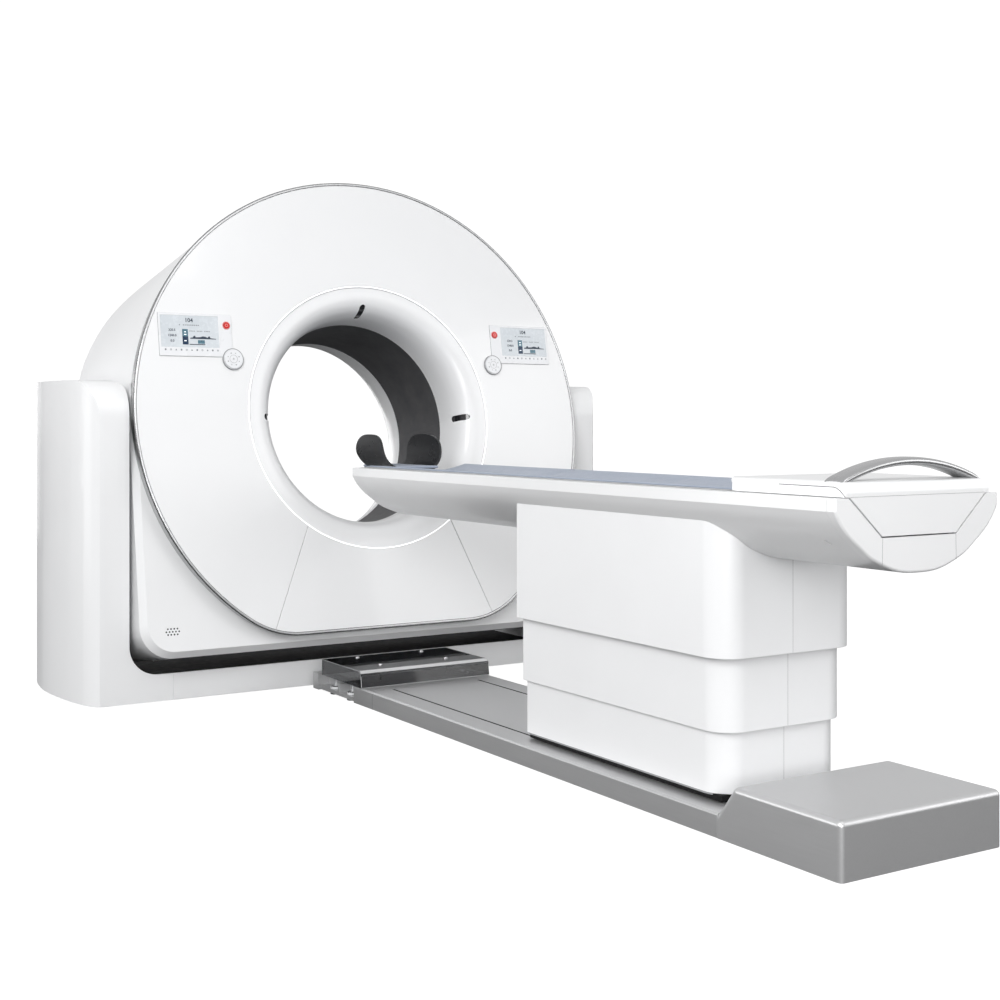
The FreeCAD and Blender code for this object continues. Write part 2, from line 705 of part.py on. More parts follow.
# the foot is open behind a short lip; a black tray closes it
lower = lower.cut(Part.makeBox(2 * (hr - hc), ru + 300.0, 60.0, V(-(hr - hc), -285.0, -low - 20.0)))
lower = lower.common(swing)
spk_x, spk_v = -850.0, -786.0
for j, n in enumerate((4, 5, 4)):
    for i in range(n):
        x = spk_x + (i - (n - 1) / 2) * 12.0
        z = spk_v + (1 - j) * 10.4
        lower = lower.cut(Part.makeCylinder(2.4, 30.0, V(x, hu - 10.0, z), V(0, 1, 0)))
ganged(raw(lower.removeSplitter()), "lower_housing")

tray = Part.makeBox(2 * (hr - hc) - 3.0, 572.0, 4.0, V(-(hr - hc) + 1.5, -284.0, -low + 2.0))
slope_pts = [V(0, 288.0, -low + 2.0), V(0, 392.0, -837.0), V(0, 392.0, -832.0), V(0, 287.0, -low + 7.5)]
slope = Part.Face(Part.makePolygon(slope_pts + slope_pts[:1])).extrude(V(2 * (hr - hc) - 3.0, 0, 0))
slope.translate(V(-(hr - hc) + 1.5, 0, 0))
ganged(raw(tray.fuse(slope).removeSplitter()), "bottom_tray")

fl_ = num(rear_full)
back = loft(u_wire(rr_ - 0.2, rt_ - 0.2, fl_, 837.0, hc - 10.0, ru + 0.3),
            u_wire(rr_ - 14.0, rt_ - 14.0, fl_, 823.0, hc - 20.0, ru + 12.0))
back = back.cut(loft(u_wire(rr_ - 6.0, rt_ - 6.0, fl_, 831.0, hc - 16.0, ru - 1.0),
                     u_wire(rr_ - 20.0, rt_ - 20.0, fl_, 817.0, hc - 26.0, ru + 8.0)))
back = back.cut(Part.makeCylinder(num(ring_r) - 0.6, 80.0, V(0, ru - 20.0, 0), V(0, 1, 0)))
for sx in (-1, 1):
    back = back.cut(Part.makeBox(240.0, 60.0, 130.0, V(sx * 690.0 - 120.0, ru - 20.0, 330.0)))
    back = back.cut(Part.makeBox(240.0, 60.0, 130.0, V(sx * 690.0 - 120.0, ru - 20.0, -520.0)))

louvre = pad("XZ_Plane", [[(567.0, 327.0), (813.0, 327.0), (813.0, 463.0), (567.0, 463.0)]], 4.0,
             offset=-(rear_u + 12.0), name="louvre")
sl = draw(louvre, "XZ_Plane", [[(584.0, 341.0), (796.0, 341.0), (796.0, 346.0), (584.0, 346.0)]],
          offset=-(rear_u + 12.0), name="slot_profile")
doc.recompute()
pk = louvre.newObject("PartDesign::Pocket", "Slot")
pk.Profile = sl
pk.Type = "ThroughAll"
pk.Midplane = True
lp = louvre.newObject("PartDesign::LinearPattern", "Slots")
lp.Originals = [pk]
lp.Direction = (sl, ["V_Axis"])
lp.Length = 108.0
lp.Occurrences = 10
louvre.Tip = lp
louvre_low = doc.addObject("Part::Mirroring", "low_louvre")
louvre_low.Source = louvre
louvre_low.Normal = V(0, 0, 1)
louvre_low.Base = V(0, 0, -30.0)
ganged(fuse(raw(back.removeSplitter()), louvre, louvre_low, mirror_x(louvre), mirror_x(louvre_low)), "rear_cover")

# displays, button pads, stop buttons
dx0, dx1, dz0, dz1 = 578.0, 863.0, 223.7, 386.2
bez = pad("XZ_Plane", [[(dx0, dz0), (dx1, dz0), (dx1, dz1), (dx0, dz1)],
                       ("o", 598.0, 345.0, 12.6)], 4.0, offset=-face_u, name="bezel")
pocket(bez, "XZ_Plane", [[(dx0 + 52.0, dz0 + 34.0), (dx1 - 8.0, dz0 + 34.0), (dx1 - 8.0, dz1 - 8.0),
                          (dx0 + 52.0, dz1 - 8.0)]], 2.0, offset=-face_u + 4.0)
key_hole = cyl("Y", 40.0, face_u - 12.0, face_u + 2.0, 578.0, 215.5)
bezel = cut(bez, key_hole)
key_base = cut(cyl("Y", 41.0, face_u - 6.0, face_u - 0.0, 578.0, 215.5),
               cyl("Y", 36.3, face_u - 7.0, face_u - 2.0, 578.0, 215.5))
ganged(both(fuse(bezel, key_base)), "display_bezels")
scr = box(dx0 + 52.3, dx1 - 8.3, face_u - 3.6, face_u - 2.0, dz0 + 34.3, dz1 - 8.3)
ganged(both(scr), "display_screens")
key = cyl("Y", 35.8, face_u - 9.2, face_u - 5.2, 578.0, 215.5)
btn = cyl("Y", 12.0, face_u - 7.2, face_u - 3.4, 598.0, 345.0)
kr = fuse(key)
ganged(group(key), "right_keypad")
ganged(group(mirror_x(key)), "left_keypad")
ganged(group(btn), "right_stop_button")
ganged(group(mirror_x(btn)), "left_stop_button")

# drive motor and belt
pr, px_, pz_ = 60.0, 838.0, -742.0
motor = fuse(cyl("Y", 66.0, 165.0, 330.0, px_, pz_), cyl("Y", 9.95, 100.0, 165.0, px_, pz_),
             cyl("Y", 12.0, 150.0, 165.0, px_, pz_),
             box(px_ - 60.0, px_ + 60.0, 166.0, 178.0, pz_ - 66.0, pz_ + 66.0))
ganged(motor, "drive_motor")


def belt_loop(off, u0, u1):
    """Outline round rotor rim and motor pulley, off outside both."""
    R, r = num(rotor_r) + off, pr + off
    d = math.hypot(px_, pz_)
    base_a = math.atan2(pz_, px_)
    phi = math.acos((R - r) / d)
    a1, a2 = base_a + phi, base_a - phi
    c = lambda R_, a, x=0.0, z=0.0: V(x + R_ * math.cos(a), u0, z + R_ * math.sin(a))
    e = [Part.LineSegment(c(R, a1), c(r, a1, px_, pz_)).toShape(),
         Part.Arc(c(r, a1, px_, pz_), c(r, base_a, px_, pz_), c(r, a2, px_, pz_)).toShape(),
         Part.LineSegment(c(r, a2, px_, pz_), c(R, a2)).toShape(),
         Part.Arc(c(R, a2), c(R, base_a + math.pi), c(R, a1)).toShape()]
    return Part.Face(Part.Wire(e)).extrude(V(0, u1 - u0, 0))


ganged(raw(belt_loop(5.0, 100.0, 128.0).cut(belt_loop(0.6, 99.0, 129.0))), "rotor_belt")
ganged(cut(cyl("Y", pr, 98.0, 146.0, px_, pz_), cyl("Y", 10.0, 90.0, 150.0, px_, pz_)), "drive_pulley")

# ==== 3. rotor =============================================================
rot = doc.addObject("PartDesign::Body", "rotor_disc")
rsk = draw(rot, "XZ_Plane", [("o", 0.0, 0.0, rotor_r), ("o", 0.0, 0.0, 450.0)], offset=-130.0)
rp = rot.newObject("PartDesign::Pad", "Pad")
rp.Profile = rsk
rp.Length = 32.0
doc.recompute()
hsk = draw(rot, "XZ_Plane", [("o", 300.0, 560.0, 42.0)], offset=-130.0, name="light_hole")
hp = rot.newObject("PartDesign::Pocket", "Lightening")
hp.Profile = hsk
hp.Type = "ThroughAll"
hp.Midplane = True
pp = rot.newObject("PartDesign::PolarPattern", "Holes")
pp.Originals = [hp]
pp.Axis = (hsk, ["N_Axis"])
pp.Angle = 360
pp.Occurrences = 3
rot.Tip = pp
ganged(rot, "rotor_plate")
ganged(revolve([[(455.0, 130.2), (485.0, 130.2), (485.0, 148.0), (race_r - 0.06, 148.0),
                 (race_r - 0.06, 200.0), (455.0, 200.0)]], "inner_race"), "main_bearing_inner")
tube = fuse(cyl("Y", 92.0, -165.0, 60.0, 0, 660.0), cyl("Y", 60.0, 60.0, 90.0, 0, 660.0),
            box(-70.0, 70.0, -120.0, 97.8, 735.0, 790.0), cyl("Z", 40.0, 540.0, 600.0, 0, -30.0))
ganged(tube, "xray_tube")
ganged(cut(box(-80.0, 80.0, -80.0, 97.8, 478.0, 538.0), box(-30.0, 30.0, -70.0, 10.0, 470.0, 545.0)), "collimator")
tank = raw(Part.makeBox(300.0, 240.0, 190.0, V(-150.0, -142.2, 560.0)))
tank.Placement = PLC(V(0, 0, 0), ROT(V(0, 1, 0), 93.06))
ganged(both(tank), "hv_generator")

def fan_arc(r0, r1, half, u0, u1, zc=600.0):
    a = math.radians(half)
    p = lambda r, t: V(r * math.sin(t), u0, zc - r * math.cos(t))
    e = [Part.Arc(p(r0, -a), p(r0, 0), p(r0, a)).toShape(), Part.LineSegment(p(r0, a), p(r1, a)).toShape(),
         Part.Arc(p(r1, a), p(r1, 0), p(r1, -a)).toShape(), Part.LineSegment(p(r1, -a), p(r0, -a)).toShape()]
    return Part.Face(Part.Wire(e)).extrude(V(0, u1 - u0, 0))


ganged(raw(fan_arc(1085.0, 1215.0, 25.0, -90.0, 97.8)), "detector_array")
ganged(ring(600.0, 760.0, 130.2, 166.0, "slip"), "slip_ring")

# ==== 4. floor rail ========================================================
ry0, ry1 = rail_y0 + 0.6, rail_y1
floor_sheet = box(-262.0, 262.0, ry0, ry1, 0.0, 10.0)
rib = box(-22.0, 22.0, ry0, ry1, 10.0, rail_h - 5.0)
bed = box(161.0, 198.0, ry0 + 20.0, slot_y + 30.0, 10.0, 18.0)
tongue = box(-200.0, 200.0, ry1, -345.0, 0.0, 10.0)

side_p = pad("XZ_Plane", [[(262.4, 0.6), (rail_w, 0.6), (rail_w, rail_h - 5.0), (rail_w - 5.0, rail_h),
                           (slot_x + 3.5, rail_h), (slot_x + 3.5, rail_h - 4.0), (262.4, rail_h - 4.0)]],
             rail_y1 - rail_y0 - 0.6, offset=-rail_y1, name="side_skin")
top_main = box(-slot_x + 3.5, slot_x - 3.5, rail_y0 + 0.6, slot_y, rail_h - 4.5, rail_h)
top_nose = box(-slot_x - 3.1, slot_x + 3.1, slot_y, rail_y1, rail_h - 4.5, rail_h)
keep(group(side_p, mirror_x(side_p), fuse(top_main, top_nose)), "rail_covers")
keep(both(box(171.0, 188.0, ry0 + 30.0, slot_y + 20.0, 18.0, 32.0)), "linear_rails")

# end box: pressed cover with a sloped front, open below
by0, by1 = num(box_y), num(rail_y0)
bw, bz = num(rail_w), num(box_z)


def end_form(t):
    prof = [V(0, by0 + t, -5.0 * (t > 0)), V(0, by0 + t, bz - t), V(0, by1 - 62.0 - 0.3 * t, bz - t),
            V(0, by1 - 0.7 * t, num(rail_h) - t * 0.2), V(0, by1 - t, -5.0 * (t > 0))]
    s = Part.Face(Part.makePolygon(prof + prof[:1])).extrude(V(2 * (bw - t), 0, 0))
    s.translate(V(-(bw - t), 0, 0))
    top = [e for e in s.Edges if all(v.Point.z > bz - t - 1 for v in e.Vertexes)]
    upright = [e for e in s.Edges if all(v.Point.y < by0 + t + 1 for v in e.Vertexes) and
               abs(e.Vertexes[0].Point.x - e.Vertexes[1].Point.x) < 1 and e not in top]
    slopes = [e for e in s.Edges if abs(e.Vertexes[0].Point.x - e.Vertexes[1].Point.x) < 1 and
              min(v.Point.y for v in e.Vertexes) > by1 - 90 and max(v.Point.z for v in e.Vertexes) > bz - t - 1
              and min(v.Point.z for v in e.Vertexes) > 20]
    r = 15.0 - t
    return s.makeFillet(r, top + slopes + upright) if r > 0 else s


try:
    end_box = end_form(0.0).cut(end_form(3.0))
except Exception:
    s = end_form(15.0)
    end_box = end_form(0.0)
keep(raw(end_box), "rail_end_box")
keep(fuse(box(-60.0, 60.0, -3090.0, -2990.0, 12.0, 118.0), cyl("Y", 40.0, -2990.0, -2860.0, 0, 60.0),
          box(-90.0, 90.0, -3100.0, -2800.0, 0.0, 12.0)), "rail_drive_unit")

# welded frame with the two front brackets, and the levelling feet in them
foot_x, foot_1, foot_2 = -250.0, -562.0, -704.0
blk = fuse(box(-270.0, -200.0, -452.0, -406.0, 0.0, 62.0), box(-270.0, -200.0, -758.0, -452.0, 6.0, 20.0),
           box(-225.0, -200.0, -758.0, -452.0, 20.0, 58.0), box(-270.0, -225.0, -640.0, -626.0, 20.0, 50.0))
blk_h = cut(blk, cyl("Z", 6.4, 0.0, 30.0, foot_x, foot_1), cyl("Z", 6.4, 0.0, 30.0, foot_x, foot_2))
keep(fuse(floor_sheet, rib, bed, mirror_x(bed), tongue, blk_h, mirror_x(blk_h)), "rail_frame")
foot_p = revolve_z([[(0.0, 0.0), (19.0, 0.0), (19.0, 5.4), (6.0, 5.4), (6.0, 20.2), (17.0, 20.2), (17.0, 29.0),
                     (13.0, 32.0), (6.0, 32.0), (6.0, 36.0), (0.0, 36.0)]], "foot")
f1 = move(group(foot_p), foot_x, foot_1, 0)
f2 = move(group(foot_p), foot_x, foot_2, 0)
keep(group(f1, f2, mirror_x(f1), mirror_x(f2)), "levelling_feet")


def smoked_form(t, z0):
    """Tinted cover: flat top, rolled front edge, steep front face."""
    y0, y1, h = -826.0 + t, -490.0 - t * (t > 0), 122.0 - t
    c = 18.0 - t
    pts = [V(0, y0, z0), V(0, y0 + 9, h - c)]
    e = [Part.LineSegment(V(0, y1, z0), V(0, y0, z0)).toShape(),
         Part.LineSegment(V(0, y0, z0), V(0, y0 + 7, h - c)).toShape(),
         Part.Arc(V(0, y0 + 7, h - c), V(0, y0 + 13, h - c * 0.25), V(0, y0 + 7 + c * 1.2, h)).toShape(),
         Part.LineSegment(V(0, y0 + 7 + c * 1.2, h), V(0, y1, h)).toShape(),
         Part.LineSegment(V(0, y1, h), V(0, y1, z0)).toShape()]
    w = 272.0 - t
    s = Part.Face(Part.Wire(e)).extrude(V(2 * w, 0, 0))
    s.translate(V(-w, 0, 0))
    return s


smoked = smoked_form(0.0, 63.0).cut(smoked_form(4.0, 50.0))
for sx in (-140.0, 140.0):
    for sy in (-525.0, -718.0):
        smoked = smoked.cut(Part.makeCylinder(4.2, 20.0, V(sx, sy, 110.0)))
keep(raw(smoked), "smoked_cover")
screws = []
screw = revolve_z([[(0.0, 64.0), (4.0, 64.0), (4.0, 122.2), (9.0, 122.2), (8.0, 126.0), (0.0, 126.6)]], "screw")
for sx in (-140.0, 140.0):
    for sy in (-525.0, -718.0):
        screws.append(move(group(screw), sx, sy, 0))
keep(group(*screws), "cover_screws")

# ==== 5. carriage on the rail =============================================
blocks = []
for y in (-2660.0, -1960.0):
    blocks.append(fuse(box(158.0, 201.0, y - 60.0, y + 60.0, 32.4, 46.0),
                       box(158.0, 170.2, y - 60.0, y + 60.0, 22.0, 32.4),
                       box(188.8, 201.0, y - 60.0, y + 60.0, 22.0, 32.4)))
keep(group(*(blocks + [mirror_x(b) for b in blocks])), "guide_blocks")
web = box(slot_x - 2.0, slot_x + 2.0, -2720.0, -1900.0, 46.0, 70.0)
plinth = box(-202.0, 202.0, -2725.0, -1835.0, 66.0, 81.0)
post_base = box(-110.0, 110.0, -2420.0, -2120.0, 81.0, 100.0)
post = cut(box(-100.0, 100.0, -2400.0, -2140.0, 100.0, 360.0), box(-88.0, 88.0, -2388.0, -2152.0, 104.0, 365.0))
keep(fuse(web, mirror_x(web), plinth, post_base, post), "carriage_frame")


def cover_shell(half, y0, y1, z0, z1, t, tail_r, nose_r):
    """Open tube cover: rounded-rectangle plan with larger tail corners."""
    def plan(k):
        w, a, b = half - k, y0 + k, y1 - k
        rt, rn = tail_r - k, max(nose_r - k, 1.0)
        kt, kn = rt * (1 - math.sqrt(0.5)), rn * (1 - math.sqrt(0.5))
        e = [Part.LineSegment(V(-w + rt, a, z0), V(w - rt, a, z0)).toShape(),
             Part.Arc(V(w - rt, a, z0), V(w - kt, a + kt, z0), V(w, a + rt, z0)).toShape(),
             Part.LineSegment(V(w, a + rt, z0), V(w, b - rn, z0)).toShape(),
             Part.Arc(V(w, b - rn, z0), V(w - kn, b - kn, z0), V(w - rn, b, z0)).toShape(),
             Part.LineSegment(V(w - rn, b, z0), V(-w + rn, b, z0)).toShape(),
             Part.Arc(V(-w + rn, b, z0), V(-w + kn, b - kn, z0), V(-w, b - rn, z0)).toShape(),
             Part.LineSegment(V(-w, b - rn, z0), V(-w, a + rt, z0)).toShape(),
             Part.Arc(V(-w, a + rt, z0), V(-w + kt, a + kt, z0), V(-w + rt, a, z0)).toShape()]
        return Part.Face(Part.Wire(e)).extrude(V(0, 0, z1 - z0))
    return plan(0.0).cut(plan(t))


t_ = num(wall)
lower_c = cover_shell(num(low_w), -2736.0, -1824.0, num(low_z), 335.0, t_, 72.0, 10.0)
keep(raw(lower_c), "lower_cover")

# ==== 6. middle stage =====================================================
middle_c = cover_shell(num(mid_w), -2751.0, -1817.0, num(mid_z), 525.0, t_, 75.0, 9.0)
keep(raw(middle_c), "middle_cover")
keep(cut(box(-87.0, 87.0, -2387.0, -2153.0, 262.0, 520.0), box(-75.0, 75.0, -2375.0, -2165.0, 258.0, 525.0)),
     "middle_column")

# ==== 7. table top ========================================================
def hull_face(y, inset=0.0):
    """Table section: straight rim, crease, deep rounded keel."""
    w, r, c, k = num(boat_w) - inset, num(rim_z), num(crease_z), num(keel_z) + inset
    pts = [(w, c), (w - 15, c - 26), (w - 41, c - 56), (w - 64, c - 75), (w - 86, c - 91),
           (w - 106, c - 106), (w - 150, k + 23), (w - 214, k + 3.5), (0.0, k)]
    right = [V(x, y, z) for x, z in pts]
    left = [V(-x, y, z) for x, z in reversed(pts[:-1])]
    b = Part.BSplineCurve()
    b.interpolate(Points=right + left)
    return Part.Face(Part.Wire([b.toShape(),
                                Part.LineSegment(V(-w, y, c), V(-w, y, r)).toShape(),
                                Part.LineSegment(V(-w, y, r), V(w, y, r)).toShape(),
                                Part.LineSegment(V(w, y, r), V(w, y, c)).toShape()]))


def trough(grow, z_top=900.0):
    """Channel the cradle runs in, grown by grow."""
    wt, wl, z0, z1 = num(crad_top) + grow, num(crad_low) + grow * 0.8, num(crad_z) - grow, num(rim_z)
    s = (wt - wl) / (z1 - num(crad_z))
    wt2 = wt + s * (z_top - z1)
    p = [V(-wt2, 0, z_top), V(-wl, 0, z0), V(wl, 0, z0), V(wt2, 0, z_top)]
    return Part.Face(Part.makePolygon(p + p[:1]))


ty0, ty1, tcap = num(boat_y0), num(boat_y1), num(cap_y)


def run(face, y0, y1):
    f = face.copy()
    b = f.BoundBox
    f.translate(V(0, y0 - b.YMin, 0))
    return f.extrude(V(0, y1 - y0, 0))


hull_solid = run(hull_face(0.0), tcap, ty1)
hollow = run(hull_face(0.0, 6.0), tcap - 1.0, ty1 - 6.0)
hollow = hollow.common(Part.makeBox(600, 4000, 400, V(-300, -3600, 600)))
lid = Part.makeBox(800, 4000, 60, V(-400, -3600, num(rim_z) - 6.0))
void = hollow.cut(lid).cut(run(trough(8.0), tcap - 2.0, ty1 + 2.0))
boat = hull_solid.cut(run(trough(3.5), tcap - 2.0, ty1 + 2.0)).cut(void)
# small oval access hole low on the left flank, square to the skin
hx, hr_ = 6.0, 4.3
oval_w = Part.Wire([Part.LineSegment(V(-hx, -hr_, 0), V(hx, -hr_, 0)).toShape(),
                    Part.Arc(V(hx, -hr_, 0), V(hx + hr_, 0, 0), V(hx, hr_, 0)).toShape(),
                    Part.LineSegment(V(hx, hr_, 0), V(-hx, hr_, 0)).toShape(),
                    Part.Arc(V(-hx, hr_, 0), V(-hx - hr_, 0, 0), V(-hx, -hr_, 0)).toShape()])
slot_tail = Part.Face(oval_w).extrude(V(0, 0, 34.0))
h_n, h_t = V(-0.608, 0, -0.794), V(0.70, -0.467, -0.537)
slot_tail.Placement = PLC(V(-206.6, -3104.8, 754.5) - h_n * 17.0, ROT(h_t, h_n.cross(h_t), h_n, "ZXY"))
keep(raw(boat.cut(slot_tail)), "table_shell")

tail = run(hull_face(0.0), ty0, tcap - 0.8)
tail_rim = [e for e in tail.Edges if all(abs(v.Point.y - ty0) < 0.1 for v in e.Vertexes)
            and e.BoundBox.ZMin < num(rim_z) - 5.0]
tail = tail.makeFillet(7.0, tail_rim)
tail = tail.cut(run(trough(3.5), ty0 - 2.0, tcap + 2.0))
keep(raw(tail), "table_tail_cap")

keep(raw(cover_shell(num(up_w), -2770.0, -1812.6, num(up_z), 860.0, t_, 78.0, 8.0)
         .cut(run(hull_face(0.0), -3300.0, -700.0)).cut(Part.makeBox(800, 3000, 200, V(-400, -3300, 800)))), "upper_cover")
sup = fuse(box(-74.0, 74.0, -2374.0, -2166.0, 440.0, 660.0), box(-150.0, 150.0, -2560.0, -1980.0, 660.0, 712.0))
keep(cut(sup, raw(run(hull_face(0.0), -3300.0, -700.0))), "upper_column")

# ==== 8. cradle ===========================================================
def cradle_face(low_off, inset, cover):
    wt, wl, z0 = num(crad_top) - inset, num(crad_low) - inset * 0.8, num(crad_z) + inset
    ztop = num(rim_z) + 2.0
    hollow_z = lambda x: num(pad_z) - num(pad_t) - 0.4 + x * x / num(pad_rho)
    xs = 210.0
    if cover:
        top = [Part.LineSegment(V(wt, 0, ztop), V(-wt, 0, ztop)).toShape()]
    else:
        pts = [V(xs - 2 * xs * i / 12.0, 0, hollow_z(xs - 2 * xs * i / 12.0)) for i in range(13)]
        b = Part.BSplineCurve()
        b.interpolate(Points=pts)
        top = [Part.LineSegment(V(wt, 0, ztop), V(xs + 4, 0, ztop)).toShape(),
               Part.LineSegment(V(xs + 4, 0, ztop), pts[0]).toShape(), b.toShape(),
               Part.LineSegment(pts[-1], V(-xs - 4, 0, ztop)).toShape(),
               Part.LineSegment(V(-xs - 4, 0, ztop), V(-wt, 0, ztop)).toShape()]
    e = top + [Part.LineSegment(V(-wt, 0, ztop), V(-wl, 0, z0)).toShape(),
               Part.LineSegment(V(-wl, 0, z0), V(wl, 0, z0)).toShape(),
               Part.LineSegment(V(wl, 0, z0), V(wt, 0, ztop)).toShape()]
    return Part.Face(Part.Wire(e))


ey = num(end_y)
keep(raw(run(cradle_face(0, 0.0, False), ey + 0.0, ty1)), "cradle")


def pad_face():
    top = lambda x: num(pad_z) + x * x / num(pad_rho)
    w, t = num(pad_w), num(pad_t)
    a = [V(w - 2 * w * i / 12.0, 0, top(w - 2 * w * i / 12.0)) for i in range(13)]
    b = [V(-w + 2 * w * i / 12.0, 0, top(-w + 2 * w * i / 12.0) - t) for i in range(13)]
    s1, s2 = Part.BSplineCurve(), Part.BSplineCurve()
    s1.interpolate(Points=a)
    s2.interpolate(Points=b)
    return Part.Face(Part.Wire([s1.toShape(), Part.LineSegment(a[-1], b[0]).toShape(), s2.toShape(),
                                Part.LineSegment(b[-1], a[0]).toShape()]))


keep(raw(run(pad_face(), ey + 2.0, ty1 - 2.0)), "table_pad")

# white tail cover of the cradle: top deck plus the trapezoid end
deck_w, dz_0, dz_1 = num(end_w), num(rim_z) + 1.6, num(end_z)
deck_e = [V(-deck_w, 0, dz_0), V(-deck_w, 0, dz_1 - 14), V(-deck_w + 4, 0, dz_1 - 4), V(-deck_w + 14, 0, dz_1),
          V(deck_w - 14, 0, dz_1), V(deck_w - 4, 0, dz_1 - 4), V(deck_w, 0, dz_1 - 14), V(deck_w, 0, dz_0)]
deck = run(Part.Face(Part.makePolygon(deck_e + deck_e[:1])), ty0, ey)
# the deck rolls over its tail edge
roll = 27.0
roll_k = roll * (1 - math.sqrt(0.5))
side_w = Part.Wire([Part.LineSegment(V(-300, ty0, 840), V(-300, ty0, dz_1 - roll)).toShape(),
                    Part.Arc(V(-300, ty0, dz_1 - roll), V(-300, ty0 + roll_k, dz_1 - roll_k), V(-300, ty0 + roll, dz_1)).toShape(),
                    Part.LineSegment(V(-300, ty0 + roll, dz_1), V(-300, ey + 5, dz_1)).toShape(),
                    Part.LineSegment(V(-300, ey + 5, dz_1), V(-300, ey + 5, 840)).toShape(),
                    Part.LineSegment(V(-300, ey + 5, 840), V(-300, ty0, 840)).toShape()])
deck = deck.common(Part.Face(side_w).extrude(V(600, 0, 0)))
nose_cut = Part.makeBox(300, 60, 80, V(0, 0, 0))
for sx in (-1, 1):
    n = Part.Face(Part.makePolygon([V(sx * 232, ey + 1, 850), V(sx * 260, ey + 1, 850),
                                    V(sx * 260, ey - 26, 850), V(sx * 241, ey - 26, 850), V(sx * 232, ey + 1, 850)]))
    deck = deck.cut(n.extrude(V(0, 0, 80)))
tail_block = run(cradle_face(0, 0.0, True), ty0, ey - 0.2)
inner = run(cradle_face(0, 5.0, True), ty0 + 5.0, ey - 3.0)
end_cover = deck.fuse(tail_block).cut(inner)
keep(raw(end_cover.removeSplitter()), "cradle_end_cover")

# arched grab handle: flat oval bar on a circular arch
half, rise, hz = 243.0, 53.0, dz_1
arch_r = (half ** 2 + rise ** 2) / (2 * rise)
cz = hz + 43.2 - arch_r
ang = math.asin(half / arch_r)
path = Part.Wire([Part.Arc(V(-half, -3146.0, cz + arch_r * math.cos(ang)), V(0, -3146.0, cz + arch_r),
                           V(half, -3146.0, cz + arch_r * math.cos(ang))).toShape()])
oval = Part.Ellipse(V(0, 0, 0), 32.0, 10.0).toShape()
sec = Part.Wire([oval])
sec.rotate(V(0, 0, 0), V(0, 0, 1), 90)
sec.rotate(V(0, 0, 0), V(0, 1, 0), 90)
sec.rotate(V(0, 0, 0), V(1, 0, 0), 0)
sec.translate(V(0, -3146.0, 0))
sec.rotate(V(0, -3146.0, 0), V(0, 1, 0), math.degrees(-ang))
sec.translate(V(-half, 0, cz + arch_r * math.cos(ang)))
bow = path.makePipeShell([sec], True, True)
bow = bow.cut(deck).common(Part.makeBox(458.0, 400, 200, V(-229.0, -3350, hz - 6.0)))
keep(raw(bow), "grab_handle")


HOLD_Y = -449.0


def holder_width(y):
    """The holder opens out towards the shoulders."""
    return 1.0 + 0.13 * (HOLD_Y - y) / (HOLD_Y - num(boat_y1))


def holder_skin(k0, k1):
    """Bent shell between two offsets of one section, wider at the shoulder end."""
    def section(k, y):
        w = holder_width(y)
        pts = [(113, 985.0), (116, 930.0), (105, 886.0), (84, 861.0 + 0.5 * k), (56, 849.0 + 0.9 * k), (0.0, 845.5 + k)]
        right = [V((x - k * (1.0 if z > 860 else 0.5)) * w if x else 0.0, y, z) for x, z in pts]
        b = Part.BSplineCurve()
        b.interpolate(Points=right + [V(-p.x, y, p.z) for p in reversed(right[:-1])])
        return b, right

    def wire(y):
        o, po = section(k0, y)
        i, pi = section(k1, y)
        return Part.Wire([o.toShape(), Part.LineSegment(V(-po[0].x, y, po[0].z), V(-pi[0].x, y, pi[0].z)).toShape(),
                          i.toShape(), Part.LineSegment(pi[0], po[0]).toShape()])
    return Part.makeLoft([wire(HOLD_Y), wire(ty1 + 0.1)], True, True)


def wing_outline(grow):
    """Ear-shaped side outline of the wings."""
    q = lambda y, z: V(-260, y, z)
    b = Part.BSplineCurve()
    b.interpolate(Points=[q(-738 - grow, 845), q(-720 - grow, 889), q(-709 - grow, 925), q(-692 - grow, 956), q(-655, 975 + grow),
                          q(-600, 981 + grow), q(-552, 980 + grow), q(-512, 972 + grow), q(-478 + grow, 950), q(-465 + grow, 914),
                          q(-484 + grow, 878), q(-494 + grow, 845)])
    f = Part.Face(Part.Wire([b.toShape(), Part.LineSegment(q(-494 + grow, 845), q(-738 - grow, 845)).toShape()]))
    return f.extrude(V(520, 0, 0))


skin_full = holder_skin(0.0, 7.5)
tongue = Part.makeBox(520, 400, 60, V(-260, ty1 - 2, 793))
seat_block = Part.makeBox(100.0, 26.0, 46.0, V(-50.0, ty1 + 0.1, 802.0))
wings = skin_full.common(wing_outline(0.0))
holder = wings.fuse(skin_full.common(tongue)).fuse(seat_block)
keep(raw(holder.removeSplitter()), "head_holder")


def cushion_board():
    """Thin head cushion: lies over the tongue, slit for the two wings, rounded front corners."""
    y0, y1, w0, w1, c = ty1 + 0.2, HOLD_Y, 90.0, 86.0, 26.0
    k = c * (1 - math.sqrt(0.5))
    z0 = 853.6
    e = [Part.LineSegment(V(-w0, y0, z0), V(w0, y0, z0)).toShape(),
         Part.LineSegment(V(w0, y0, z0), V(w1, y1 - c, z0)).toShape(),
         Part.Arc(V(w1, y1 - c, z0), V(w1 - k, y1 - k, z0), V(w1 - c, y1, z0)).toShape(),
         Part.LineSegment(V(w1 - c, y1, z0), V(-w1 + c, y1, z0)).toShape(),
         Part.Arc(V(-w1 + c, y1, z0), V(-w1 + k, y1 - k, z0), V(-w1, y1 - c, z0)).toShape(),
         Part.LineSegment(V(-w1, y1 - c, z0), V(-w0, y0, z0)).toShape()]
    slab_ = Part.Face(Part.Wire(e)).extrude(V(0, 0, 9.4))
    slit = holder_skin(-0.4, 8.0).common(wing_outline(0.6))
    return slab_.cut(slit)


keep(raw(cushion_board()), "head_cushion")

